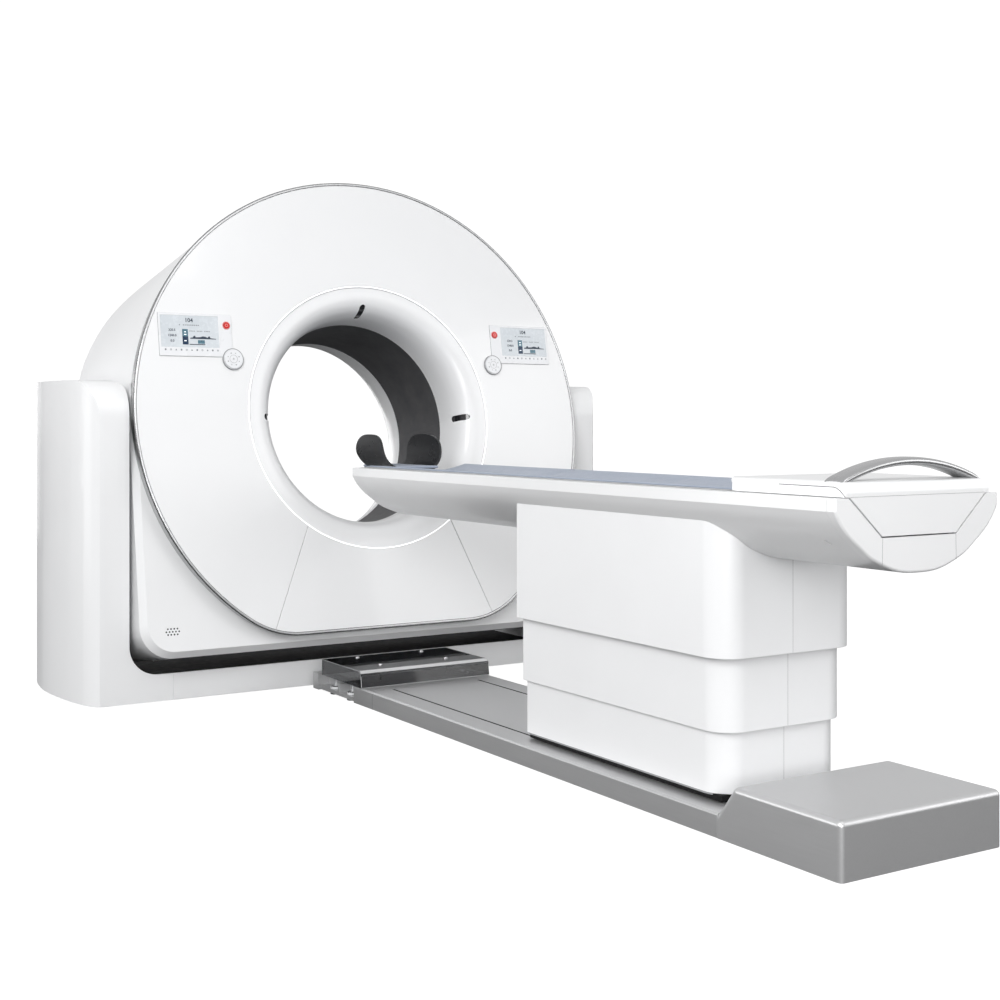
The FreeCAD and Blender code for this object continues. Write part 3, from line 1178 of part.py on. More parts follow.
# ==== check and write =====================================================
doc.recompute()
bad = []
for o in doc.Objects:
    if "Invalid" in o.State or "Error" in o.State:
        bad.append("%s (%s)" % (o.Name, o.Label))
for label, obj in NODES:
    s = obj.Shape
    if s.isNull() or not s.isValid() or not s.Solids:
        bad.append("shape " + label)
if bad:
    raise RuntimeError("not sound: " + ", ".join(bad))
names = [n for n, _ in NODES]
if len(set(names)) != len(names) or len(names) > 60:
    raise RuntimeError("node names: %d" % len(names))
for label, obj in NODES:
    obj.Shape.exportStep("parts/%s.step" % label)
print("wrote", len(NODES), "nodes")
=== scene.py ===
import bpy
import bmesh
import json
import math
from mathutils import Matrix, Vector


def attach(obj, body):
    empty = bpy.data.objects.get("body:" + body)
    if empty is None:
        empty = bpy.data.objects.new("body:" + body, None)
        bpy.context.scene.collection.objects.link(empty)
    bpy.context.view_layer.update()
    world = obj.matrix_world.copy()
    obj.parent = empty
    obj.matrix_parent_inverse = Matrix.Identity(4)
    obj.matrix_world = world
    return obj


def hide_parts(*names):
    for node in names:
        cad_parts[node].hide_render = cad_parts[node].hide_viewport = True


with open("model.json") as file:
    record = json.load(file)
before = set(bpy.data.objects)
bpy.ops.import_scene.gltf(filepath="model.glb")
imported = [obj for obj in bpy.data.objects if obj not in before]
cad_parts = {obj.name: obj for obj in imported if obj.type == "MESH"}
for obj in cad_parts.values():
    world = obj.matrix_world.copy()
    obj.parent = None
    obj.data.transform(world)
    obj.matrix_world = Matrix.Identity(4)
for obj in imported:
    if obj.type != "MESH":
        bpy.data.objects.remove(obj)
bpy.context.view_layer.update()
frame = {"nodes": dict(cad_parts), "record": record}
NODE = frame["nodes"]
BODY_OF = {n: b for b, ns in frame["record"]["behaviour"]["bodies"].items() for n in ns}
SLOT_OF = {s["node"]: s["material_slot"] for s in frame["record"]["subparts"]}

MM = 0.001
TILT = math.radians(9.43)
PIVOT = 0.9886
# ring frame: x, u rearwards, v up, about the tilt axis
RING = Matrix.Translation((0, 0, PIVOT)) @ Matrix.Rotation(-TILT, 4, "X")
WORLD = Matrix.Identity(4)


# ---------------------------------------------------------------- materials
def new_mat(name):
    m = bpy.data.materials.new(name)
    m.use_nodes = True
    nt = m.node_tree
    nt.nodes.clear()
    out = nt.nodes.new("ShaderNodeOutputMaterial")
    b = nt.nodes.new("ShaderNodeBsdfPrincipled")
    nt.links.new(b.outputs[0], out.inputs[0])
    return m, nt, b, out


def coords(nt, scale=(1, 1, 1)):
    tc = nt.nodes.new("ShaderNodeTexCoord")
    mp = nt.nodes.new("ShaderNodeMapping")
    mp.inputs["Scale"].default_value = scale
    nt.links.new(tc.outputs["Object"], mp.inputs[0])
    return mp.outputs[0]


def noise(nt, vec, scale, detail=4.0, rough=0.5, dist=0.0):
    n = nt.nodes.new("ShaderNodeTexNoise")
    n.inputs["Scale"].default_value = scale
    n.inputs["Detail"].default_value = detail
    n.inputs["Roughness"].default_value = rough
    n.inputs["Distortion"].default_value = dist
    nt.links.new(vec, n.inputs["Vector"])
    return n.outputs["Fac"]


def ramp(nt, fac, lo, hi, a=0.3, b=0.7):
    r = nt.nodes.new("ShaderNodeValToRGB")
    r.color_ramp.elements[0].position = a
    r.color_ramp.elements[1].position = b
    r.color_ramp.elements[0].color = (*lo, 1)
    r.color_ramp.elements[1].color = (*hi, 1)
    nt.links.new(fac, r.inputs[0])
    return r.outputs[0]


def span(nt, fac, lo, hi, a=0.3, b=0.7):
    m = nt.nodes.new("ShaderNodeMapRange")
    m.inputs["From Min"].default_value = a
    m.inputs["From Max"].default_value = b
    m.inputs["To Min"].default_value = lo
    m.inputs["To Max"].default_value = hi
    nt.links.new(fac, m.inputs["Value"])
    return m.outputs[0]


def bump(nt, bsdf, height, strength, distance, normal=None):
    bp = nt.nodes.new("ShaderNodeBump")
    bp.inputs["Strength"].default_value = strength
    bp.inputs["Distance"].default_value = distance
    nt.links.new(height, bp.inputs["Height"])
    if normal is not None:
        nt.links.new(normal, bp.inputs["Normal"])
    if bsdf is not None:
        nt.links.new(bp.outputs[0], bsdf.inputs["Normal"])
    return bp.outputs[0]


def painted(name, colour, rough=(0.30, 0.36), coat=0.25, coat_rough=0.12, vary=0.012, peel=0.05, metal=0.0, spec=0.5):
    """Moulded or sprayed panel: faint tone drift, fine orange peel, slightly uneven gloss."""
    m, nt, b, _ = new_mat(name)
    v = coords(nt)
    lo = tuple(max(0.0, c - vary) for c in colour)
    hi = tuple(min(1.0, c + vary) for c in colour)
    nt.links.new(ramp(nt, noise(nt, v, 2.2, 3.0), lo, hi), b.inputs["Base Color"])
    nt.links.new(span(nt, noise(nt, v, 6.0, 5.0, 0.6), rough[0], rough[1]), b.inputs["Roughness"])
    b.inputs["Metallic"].default_value = metal
    b.inputs["Specular IOR Level"].default_value = spec
    b.inputs["Coat Weight"].default_value = coat
    b.inputs["Coat Roughness"].default_value = coat_rough
    bump(nt, b, noise(nt, v, 420.0, 2.0, 0.5), peel, 0.0006)
    return m


def brushed(name, lo, hi, rough=(0.26, 0.40), along=(60, 1.2, 60), aniso=0.4, fine=320.0, strength=0.05, grain=0.0, metal=1.0):
    """Metal with straight grain: noise stretched along one axis drives tone, gloss and bump."""
    m, nt, b, _ = new_mat(name)
    v = coords(nt, along)
    n1 = noise(nt, v, 6.0, 6.0, 0.65)
    v2 = coords(nt)
    n2 = noise(nt, v2, 3.0, 3.0, 0.5)
    mix = nt.nodes.new("ShaderNodeMath")
    mix.operation = "MULTIPLY_ADD"
    mix.inputs[1].default_value = 0.7
    nt.links.new(n1, mix.inputs[0])
    half = nt.nodes.new("ShaderNodeMath")
    half.operation = "MULTIPLY"
    half.inputs[1].default_value = 0.3
    nt.links.new(n2, half.inputs[0])
    nt.links.new(half.outputs[0], mix.inputs[2])
    nt.links.new(ramp(nt, mix.outputs[0], lo, hi, 0.32, 0.68), b.inputs["Base Color"])
    nt.links.new(span(nt, n1, rough[0], rough[1]), b.inputs["Roughness"])
    b.inputs["Metallic"].default_value = metal
    b.inputs["Anisotropic"].default_value = aniso
    hgt = noise(nt, coords(nt, (along[0] * 2, along[1], along[2] * 2)), 9.0, 5.0, 0.7)
    bump(nt, b, hgt, strength, 0.0004)
    return m


def turned_metal(name, lo, hi, rough=(0.12, 0.22), metal=1.0, strength=0.03):
    m, nt, b, _ = new_mat(name)
    v = coords(nt)
    nt.links.new(ramp(nt, noise(nt, v, 18.0, 4.0), lo, hi), b.inputs["Base Color"])
    nt.links.new(span(nt, noise(nt, v, 55.0, 5.0, 0.6), rough[0], rough[1]), b.inputs["Roughness"])
    b.inputs["Metallic"].default_value = metal
    bump(nt, b, noise(nt, v, 600.0, 3.0, 0.6), strength, 0.0003)
    return m


def plain_plastic(name, colour, rough=(0.42, 0.56), grain=700.0, strength=0.12, coat=0.0, vary=0.01, dist=0.0004, spec=0.5):
    m, nt, b, _ = new_mat(name)
    v = coords(nt)
    lo = tuple(max(0.0, c - vary) for c in colour)
    hi = tuple(min(1.0, c + vary) for c in colour)
    nt.links.new(ramp(nt, noise(nt, v, 12.0, 4.0), lo, hi), b.inputs["Base Color"])
    nt.links.new(span(nt, noise(nt, v, 40.0, 4.0), rough[0], rough[1]), b.inputs["Roughness"])
    b.inputs["Specular IOR Level"].default_value = spec
    b.inputs["Coat Weight"].default_value = coat
    b.inputs["Coat Roughness"].default_value = 0.1
    bump(nt, b, noise(nt, v, grain, 3.0, 0.6), strength, dist)
    return m


def carbon_mat(name):
    """Lacquered twill laminate."""
    m, nt, b, _ = new_mat(name)
    v = coords(nt)
    w1 = nt.nodes.new("ShaderNodeTexWave")
    w1.wave_type, w1.bands_direction = "BANDS", "DIAGONAL"
    w1.inputs["Scale"].default_value = 95.0
    w1.inputs["Distortion"].default_value = 0.3
    nt.links.new(coords(nt, (1, 1, 1)), w1.inputs["Vector"])
    w2 = nt.nodes.new("ShaderNodeTexWave")
    w2.wave_type, w2.bands_direction = "BANDS", "DIAGONAL"
    w2.inputs["Scale"].default_value = 95.0
    nt.links.new(coords(nt, (1, -1, 1)), w2.inputs["Vector"])
    mul = nt.nodes.new("ShaderNodeMath")
    mul.operation = "MULTIPLY"
    nt.links.new(w1.outputs["Fac"], mul.inputs[0])
    nt.links.new(w2.outputs["Fac"], mul.inputs[1])
    nt.links.new(ramp(nt, mul.outputs[0], (0.014, 0.0145, 0.016), (0.040, 0.042, 0.046), 0.1, 0.8), b.inputs["Base Color"])
    nt.links.new(span(nt, noise(nt, v, 30.0, 3.0), 0.26, 0.34), b.inputs["Roughness"])
    b.inputs["Specular IOR Level"].default_value = 0.35
    b.inputs["Coat Weight"].default_value = 0.12
    b.inputs["Coat Roughness"].default_value = 0.2
    bump(nt, b, mul.outputs[0], 0.02, 0.0003)
    return m


def vinyl_mat(name, lo, hi):
    """Soft coated upholstery: leather-like cell grain with faint broad creasing."""
    m, nt, b, _ = new_mat(name)
    v = coords(nt)
    nt.links.new(ramp(nt, noise(nt, v, 7.0, 4.0, 0.55), lo, hi), b.inputs["Base Color"])
    vo = nt.nodes.new("ShaderNodeTexVoronoi")
    vo.feature = "DISTANCE_TO_EDGE"
    vo.inputs["Scale"].default_value = 520.0
    nt.links.new(v, vo.inputs["Vector"])
    cell = span(nt, vo.outputs["Distance"], 0.0, 1.0, 0.0, 0.12)
    n1 = bump(nt, None, noise(nt, v, 22.0, 4.0, 0.6), 0.22, 0.0025)
    bump(nt, b, cell, 0.22, 0.0005, n1)
    nt.links.new(span(nt, noise(nt, v, 60.0, 4.0), 0.46, 0.60), b.inputs["Roughness"])
    b.inputs["Sheen Weight"].default_value = 0.15
    b.inputs["Sheen Roughness"].default_value = 0.5
    return m


def glass_mat(name, colour, rough=0.03, trans=1.0, ior=1.46):
    m, nt, b, _ = new_mat(name)
    v = coords(nt)
    lo = tuple(c * 0.96 for c in colour)
    nt.links.new(ramp(nt, noise(nt, v, 4.0, 2.0), lo, colour), b.inputs["Base Color"])
    nt.links.new(span(nt, noise(nt, v, 30.0, 4.0), rough, rough + 0.03), b.inputs["Roughness"])
    b.inputs["Transmission Weight"].default_value = trans
    b.inputs["IOR"].default_value = ior
    return m


def glow_mat(name, lo, hi, strength, scale=30.0):
    m, nt, b, _ = new_mat(name)
    v = coords(nt)
    c = ramp(nt, noise(nt, v, scale, 3.0), lo, hi)
    nt.links.new(c, b.inputs["Base Color"])
    nt.links.new(c, b.inputs["Emission Color"])
    b.inputs["Emission Strength"].default_value = strength
    nt.links.new(span(nt, noise(nt, v, 80.0, 3.0), 0.22, 0.3), b.inputs["Roughness"])
    return m


W = (0.845, 0.850, 0.858)
MAT = {
    "disc": painted("disc_panel_gloss", W, rough=(0.20, 0.24), coat=0.5, coat_rough=0.05),
    "plastic_white": painted("moulded_white", W, rough=(0.32, 0.38)),
    "flare": painted("flare_white", W, rough=(0.30, 0.36), coat=0.35, coat_rough=0.1),
    "panel": painted("sprayed_white", W, rough=(0.36, 0.43), coat=0.15, coat_rough=0.2, peel=0.08),
    "shell": painted("table_white", (0.85, 0.854, 0.860), rough=(0.28, 0.33), coat=0.3, coat_rough=0.12, vary=0.006, peel=0.008),
    "cradle_grey": painted("cradle_grey", (0.60, 0.603, 0.61), rough=(0.34, 0.4), coat=0.2, peel=0.01),
    "steel": painted("powder_grey", (0.10, 0.10, 0.105), rough=(0.5, 0.6), coat=0.0, vary=0.008, peel=0.2),
    "bracket": turned_metal("bracket_grey", (0.50, 0.502, 0.508), (0.58, 0.582, 0.588), (0.34, 0.46), metal=0.5),
    # light grey strip material: a painted reflection on the smoked cover's front bend
    "bend": painted("bend_painted_reflection", (0.60, 0.605, 0.612), rough=(0.12, 0.16), coat=0.6, coat_rough=0.04, metal=0.1, peel=0.01),
    "machined": turned_metal("machined_steel", (0.42, 0.42, 0.43), (0.56, 0.56, 0.57), (0.22, 0.34)),
    "casting": painted("cast_grey", (0.13, 0.13, 0.135), rough=(0.55, 0.68), coat=0.0, vary=0.02, peel=0.5),
    "trim": turned_metal("polished_trim", (0.30, 0.305, 0.31), (0.37, 0.375, 0.38), (0.20, 0.28)),
    # lighter copy of the trim metal, used as a painted highlight strip on the trim ring
    "painted_highlight_trim": painted("painted_highlight_trim", (0.66, 0.665, 0.675), rough=(0.20, 0.24), coat=0.5, coat_rough=0.06, metal=0.55, peel=0.02),
    # light grey glossy lines used as painted highlights on the smoked cover's edges
    "edge_painted_highlight": painted("edge_painted_highlight", (0.52, 0.53, 0.54), rough=(0.14, 0.2), coat=0.6, coat_rough=0.05, peel=0.02),
    "silver": brushed("rail_silver", (0.62, 0.622, 0.628), (0.66, 0.662, 0.668), rough=(0.34, 0.40), along=(40, 1.0, 40), aniso=0.2, strength=0.015, metal=0.75),
    "end_box": brushed("end_box_silver", (0.60, 0.602, 0.608), (0.63, 0.632, 0.638), rough=(0.36, 0.42), along=(30, 1.0, 30), aniso=0.15, strength=0.015, metal=0.7),
    "handle": painted("handle_silver", (0.50, 0.502, 0.508), rough=(0.24, 0.27), coat=0.0, vary=0.008, peel=0.01, metal=0.85),
    "dark": plain_plastic("bore_grey", (0.076, 0.076, 0.080), rough=(0.50, 0.58), spec=0.22),
    "window": plain_plastic("laser_window", (0.010, 0.010, 0.012), rough=(0.06, 0.10), strength=0.02, coat=0.6),
    "glow": glow_mat("light_ring_glow", (0.94, 0.95, 0.97), (1.0, 1.0, 1.0), 1.0),
    "black": plain_plastic("matt_black", (0.006, 0.006, 0.0065), rough=(0.62, 0.75), vary=0.002, spec=0.2),
    "bezel": painted("bezel_white", (0.80, 0.81, 0.83), rough=(0.25, 0.30), coat=0.4, coat_rough=0.06),
    "screen": glow_mat("screen_panel", (0.54, 0.578, 0.612), (0.62, 0.655, 0.685), 0.12, 9.0),
    "red": plain_plastic("stop_red", (0.62, 0.018, 0.016), rough=(0.25, 0.32), strength=0.03, coat=0.4),
    "smoke": glass_mat("smoked_acrylic", (0.27, 0.275, 0.285), 0.02),
    "belt": plain_plastic("belt_rubber", (0.018, 0.018, 0.018), rough=(0.6, 0.75), strength=0.4),
    "pad": vinyl_mat("pad_vinyl", (0.285, 0.325, 0.405), (0.315, 0.358, 0.44)),
    "carbon": carbon_mat("laminate_dark"),
    "aluminium": turned_metal("machined_aluminium", (0.60, 0.60, 0.61), (0.72, 0.72, 0.73), (0.28, 0.40)),
    "seam": plain_plastic("seam_dark", (0.10, 0.10, 0.105), rough=(0.6, 0.7)),
    "seam_pale": plain_plastic("seam_pale", (0.36, 0.362, 0.37), rough=(0.6, 0.7)),
    "rim_grey": plain_plastic("rim_grey", (0.30, 0.305, 0.315), rough=(0.3, 0.4), coat=0.2),
    "chrome_strip": turned_metal("edge_strip", (0.52, 0.53, 0.54), (0.60, 0.61, 0.62), (0.18, 0.26)),
    "ink_teal": glow_mat("screen_teal", (0.060, 0.135, 0.175), (0.085, 0.175, 0.225), 0.25, 40.0),
    "ink_navy": glow_mat("screen_navy", (0.006, 0.022, 0.055), (0.009, 0.032, 0.075), 0.2, 40.0),
    "pale_red": plain_plastic("pale_red", (0.80, 0.30, 0.29), rough=(0.3, 0.4), strength=0.03, coat=0.3),
    "piping": vinyl_mat("pad_piping", (0.21, 0.245, 0.31), (0.24, 0.28, 0.345)),
    "grey_rubber": plain_plastic("grey_rubber", (0.16, 0.165, 0.17), rough=(0.5, 0.62), strength=0.3),
    "white_pad": plain_plastic("foot_pad_white", (0.70, 0.71, 0.72), rough=(0.35, 0.45)),
    "ink": plain_plastic("screen_ink", (0.020, 0.035, 0.06), rough=(0.3, 0.4), strength=0.02),
    "ink_blue": glow_mat("screen_blue", (0.06, 0.22, 0.46), (0.08, 0.26, 0.52), 0.5),
    "ink_pale": glow_mat("screen_pale", (0.86, 0.92, 0.96), (0.92, 0.96, 0.98), 0.8),
    "glyph": plain_plastic("glyph_grey", (0.17, 0.185, 0.21), rough=(0.4, 0.5), strength=0.03),
}
LOOK = {n: s for n, s in SLOT_OF.items()}
LOOK.update(front_disc_cover="disc", front_service_panel="disc", front_flare="flare", rear_flare="flare",
            table_shell="shell", table_tail_cap="shell", cradle="cradle_grey", cradle_end_cover="shell", rail_end_box="end_box",
            grab_handle="handle", base_frame="black", rail_frame="bracket", light_ring="flare")


def dress(obj, key):
    obj.data.materials.clear()
    obj.data.materials.append(MAT[key])


for n, o in NODE.items():
    dress(o, LOOK[n])


# ---------------------------------------------------------------- mesh helpers
def link(name, me, mat, body, matrix=WORLD, smooth=True, angle=32.0):
    me.transform(matrix)
    o = bpy.data.objects.new(name, me)
    bpy.context.scene.collection.objects.link(o)
    if smooth:
        for p in me.polygons:
            p.use_smooth = True
        me.set_sharp_from_angle(angle=math.radians(angle))
    dress(o, mat)
    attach(o, body)
    return o


def from_bm(name, bm, mat, body, matrix=WORLD, angle=32.0, smooth=True):
    bmesh.ops.recalc_face_normals(bm, faces=bm.faces)
    me = bpy.data.meshes.new(name)
    bm.to_mesh(me)
    bm.free()
    return link(name, me, mat, body, matrix, smooth, angle)


def bake_modifiers(o):
    dg = bpy.context.evaluated_depsgraph_get()
    me = bpy.data.meshes.new_from_object(o.evaluated_get(dg))
    o.modifiers.clear()
    old = o.data
    o.data = me
    bpy.data.meshes.remove(old)
    return o


def soften(node, width, segments=3, angle=34.0, mat=None, name=None):
    """The node's own form with its hard edges rounded by width millimetres."""
    src = NODE[node]
    bm = bmesh.new()
    bm.from_mesh(src.data)
    bmesh.ops.remove_doubles(bm, verts=bm.verts, dist=2e-6)
    bmesh.ops.dissolve_degenerate(bm, edges=bm.edges, dist=1e-6)
    bmesh.ops.dissolve_limit(bm, angle_limit=math.radians(0.6), verts=bm.verts, edges=bm.edges)
    me = bpy.data.meshes.new(name or node + "_skin")
    bm.to_mesh(me)
    bm.free()
    o = bpy.data.objects.new(name or node + "_skin", me)
    bpy.context.scene.collection.objects.link(o)
    mod = o.modifiers.new("edge", "BEVEL")
    mod.width = width * MM
    mod.segments = segments
    mod.limit_method = "ANGLE"
    mod.angle_limit = math.radians(angle)
    mod.use_clamp_overlap = True
    mod.harden_normals = False
    mod.miter_outer = "MITER_ARC"
    wn = o.modifiers.new("normals", "WEIGHTED_NORMAL")
    wn.keep_sharp = False
    wn.weight = 80
    for p in me.polygons:
        p.use_smooth = True
    bake_modifiers(o)
    dress(o, mat or LOOK[node])
    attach(o, BODY_OF[node])
    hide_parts(node)
    return o


SOFT = {
    "front_disc_cover": 1.2, "front_service_panel": 1.2, "left_column_cover": 3.0, "right_column_cover": 3.0,
    "base_covers": 1.8, "lower_cover": 1.4, "middle_cover": 1.4, "upper_cover": 1.4, "cradle_end_cover": 2.0,
    "rail_covers": 0.8, "rail_end_box": 1.0, "rail_frame": 0.8, "smoked_cover": 2.0, "display_bezels": 0.9,
    "trim_ring": 0.5, "cradle": 0.8, "head_holder": 2.0,
}
for n, wdt in SOFT.items():
    soften(n, wdt)


# ---------------------------------------------------------------- builders for small pieces (all in mm)
def prism(bm, pts, a, b, axis="y"):
    """Outline swept straight from a to b. Axis y takes (x, z) points, x takes (y, z), z takes (x, y)."""
    put = {"y": lambda p, t: (p[0], t, p[1]), "x": lambda p, t: (t, p[0], p[1]), "z": lambda p, t: (p[0], p[1], t)}[axis]
    lo = [bm.verts.new([c * MM for c in put(p, a)]) for p in pts]
    hi = [bm.verts.new([c * MM for c in put(p, b)]) for p in pts]
    bm.faces.new(lo[::-1])
    bm.faces.new(hi)
    n = len(pts)
    for i in range(n):
        bm.faces.new((lo[i], lo[(i + 1) % n], hi[(i + 1) % n], hi[i]))


def pill(x0, z0, x1, z1, r, n=5):
    """Rounded rectangle outline."""
    r = min(r, (x1 - x0) / 2, (z1 - z0) / 2)
    out = []
    for cx, cz, a0 in ((x1 - r, z1 - r, 0), (x0 + r, z1 - r, 90), (x0 + r, z0 + r, 180), (x1 - r, z0 + r, 270)):
        for i in range(n + 1):
            a = math.radians(a0 + 90 * i / n)
            out.append((cx + r * math.cos(a), cz + r * math.sin(a)))
    return out


def lathe(bm, profile, cx, cz, n=72, axis="y", closed=True):
    """Profile of (radius, height) turned about an axis through (cx, cz); closed joins its ends."""
    put = {"y": lambda a, h, r: (cx + r * math.cos(a), h, cz + r * math.sin(a)),
           "z": lambda a, h, r: (cx + r * math.cos(a), cz + r * math.sin(a), h)}[axis]
    rings = []
    for r, h in profile:
        if r < 1e-6:
            v = bm.verts.new([c * MM for c in put(0, h, 0)])
            rings.append([v] * n)
        else:
            rings.append([bm.verts.new([c * MM for c in put(2 * math.pi * i / n, h, r)]) for i in range(n)])
    m = len(rings)
    for k in range(m if closed else m - 1):
        a, b = rings[k], rings[(k + 1) % m]
        for i in range(n):
            q = []
            for v in (a[i], a[(i + 1) % n], b[(i + 1) % n], b[i]):
                if v not in q:
                    q.append(v)
            if len(q) > 2:
                bm.faces.new(q)


def tube(name, pts, r, mat, body, matrix=WORLD, cyclic=False, res=3, smooth=False):
    """Round line of radius r along points (mm), as a mesh."""
    cu = bpy.data.curves.new(name, "CURVE")
    cu.dimensions = "3D"
    cu.bevel_depth = r * MM
    cu.bevel_resolution = res
    cu.use_fill_caps = True
    sp = cu.splines.new("NURBS" if smooth else "POLY")
    sp.points.add(len(pts) - 1)
    for p, q in zip(sp.points, pts):
        p.co = (q[0] * MM, q[1] * MM, q[2] * MM, 1)
    sp.use_cyclic_u = cyclic
    if smooth:
        sp.order_u = 4
        sp.use_endpoint_u = not cyclic
        sp.resolution_u = 6
    o = bpy.data.objects.new(name, cu)
    bpy.context.scene.collection.objects.link(o)
    me = bpy.data.meshes.new_from_object(o.evaluated_get(bpy.context.evaluated_depsgraph_get()))
    bpy.data.objects.remove(o)
    bpy.data.curves.remove(cu)
    me.name = name
    return link(name, me, mat, body, matrix, True, 50.0)


def figures(bm, text, cx, cz, height, front, back, bold=0.035):
    """Plain numerals drawn as solid plates on a face that looks towards -Y."""
    cu = bpy.data.curves.new("figures", "FONT")
    cu.body = text
    cu.size = height * MM / 0.7
    cu.align_x = "CENTER"
    cu.align_y = "CENTER"
    cu.resolution_u = 3
    cu.offset = height * MM * bold
    cu.extrude = abs(front - back) / 2 * MM
    o = bpy.data.objects.new("figures", cu)
    bpy.context.scene.collection.objects.link(o)
    me = bpy.data.meshes.new_from_object(o.evaluated_get(bpy.context.evaluated_depsgraph_get()))
    me.transform(Matrix.Translation((cx * MM, (front + back) / 2 * MM, cz * MM)) @ Matrix.Rotation(math.radians(90), 4, "X"))
    bm.from_mesh(me)
    bpy.data.objects.remove(o)
    bpy.data.curves.remove(cu)
    bpy.data.meshes.remove(me)


# ---------------------------------------------------------------- displays
S_Z0, S_Z1, S_W, S_F = 258.0, 377.9, 224.4, -396.6
for side, xa in (("left", -854.7), ("right", 630.3)):
    sx = -1 if side == "left" else 1
    X = lambda f: xa + f * S_W
    Z = lambda f: S_Z1 - f * (S_Z1 - S_Z0)
    plate = lambda bm, f0, g0, f1, g1, r=0.8, d=0.25: prism(bm, pill(X(f0), Z(g1), X(f1), Z(g0), r, 3), S_F - d, S_F + 0.1)
    ink, teal, navy, pale, grey = bmesh.new(), bmesh.new(), bmesh.new(), bmesh.new(), bmesh.new()
    figures(ink, "104", X(0.49), Z(0.15), 15.0, S_F - 0.25, S_F + 0.1)
    for i in range(9):
        plate(grey, 0.385 + 0.032 * i, 0.285, 0.405 + 0.032 * i, 0.315)
    lathe(grey, [(0, S_F - 0.25), (2.2, S_F - 0.25), (2.2, S_F + 0.1), (0, S_F + 0.1)], X(0.325), Z(0.30), 20)
    for g, t in ((0.47, "320.5"), (0.64, "1240.0"), (0.81, "0.0")):
        figures(ink, t, X(0.19), Z(g), 8.6, S_F - 0.25, S_F + 0.1)
    plate(teal, 0.365, 0.43, 0.465, 0.66, 0.3)
    plate(navy, 0.365, 0.66, 0.465, 0.92, 0.3)
    for g, w in ((0.52, 0.03), (0.60, 0.04), (0.80, 0.04)):
        plate(pale, 0.415 - w / 2, g - 0.012, 0.415 + w / 2, g + 0.012, 0.4, 0.45)
    for i in range(14):
        if i % 5 != 4:
            plate(grey, 0.49 + 0.026 * i, 0.475, 0.507 + 0.026 * i, 0.50)
    # lying figure on a table
    fig = [(0.50, 0.735), (0.50, 0.70), (0.545, 0.69), (0.56, 0.64), (0.585, 0.635), (0.595, 0.685), (0.68, 0.67), (0.72, 0.645),
           (0.77, 0.66), (0.80, 0.69), (0.825, 0.64), (0.84, 0.64), (0.85, 0.70), (0.95, 0.715), (0.95, 0.735)]
    prism(ink, [(X(a), Z(b)) for a, b in fig], S_F - 0.25, S_F + 0.1)
    plate(teal, 0.63, 0.77, 0.75, 0.885, 0.3, 0.2)
    plate(ink, 0.48, 0.90, 0.755, 0.925, 0.3)
    lathe(ink, [(0, S_F - 0.5), (2.0, S_F - 0.5), (2.0, S_F + 0.1), (0, S_F + 0.1)], X(0.69), Z(0.80), 18)
    # row of small marks in the white strip below the screen
    for i in range(11):
        cx, cz, f = X(0.065 + 0.0905 * i), 247.3, -397.0
        if i % 3 == 0:
            prism(grey, pill(cx - 3.0, cz - 3.2, cx + 3.0, cz + 3.2, 1.2, 3), f - 0.22, f + 0.1)
        elif i % 3 == 1:
            lathe(grey, [(2.0, f - 0.22), (3.4, f - 0.22), (3.4, f + 0.1), (2.0, f + 0.1)], cx, cz, 20)
        else:
            prism(grey, [(cx - 3.4, cz - 2.8), (cx + 3.4, cz - 2.8), (cx, cz + 3.4)], f - 0.22, f + 0.1)
    for key, bmx, mat in (("ink", ink, "ink"), ("teal", teal, "ink_teal"), ("navy", navy, "ink_navy"), ("pale", pale, "ink_pale"),
                          ("marks", grey, "glyph")):
        from_bm("screen_%s_%s" % (key, side), bmx, mat, "gantry", RING, smooth=False)

    # thin grey shadow gap round the display frame
    x0, x1 = (578.0, 863.0) if sx > 0 else (-863.0, -578.0)
    bm = bmesh.new()
    o_, i_ = pill(x0 - 1.1, 222.6, x1 + 1.1, 387.3, 2.0, 3), pill(x0 + 1.5, 225.2, x1 - 1.5, 384.7, 1.0, 3)
    n_ = len(o_)
    vo = [bm.verts.new((x * MM, -0.3938, z * MM)) for x, z in o_]
    vi = [bm.verts.new((x * MM, -0.3938, z * MM)) for x, z in i_]
    vo2 = [bm.verts.new((x * MM, -0.3929, z * MM)) for x, z in o_]
    vi2 = [bm.verts.new((x * MM, -0.3929, z * MM)) for x, z in i_]
    for i in range(n_):
        j = (i + 1) % n_
        bm.faces.new((vo[i], vo[j], vi[j], vi[i]))
        bm.faces.new((vo[j], vo[i], vo2[i], vo2[j]))
        bm.faces.new((vi[i], vi[j], vi2[j], vi2[i]))
        bm.faces.new((vo2[i], vi2[i], vi2[j], vo2[j]))
    from_bm("display_gap_" + side, bm, "seam_pale", "gantry", RING, smooth=False)

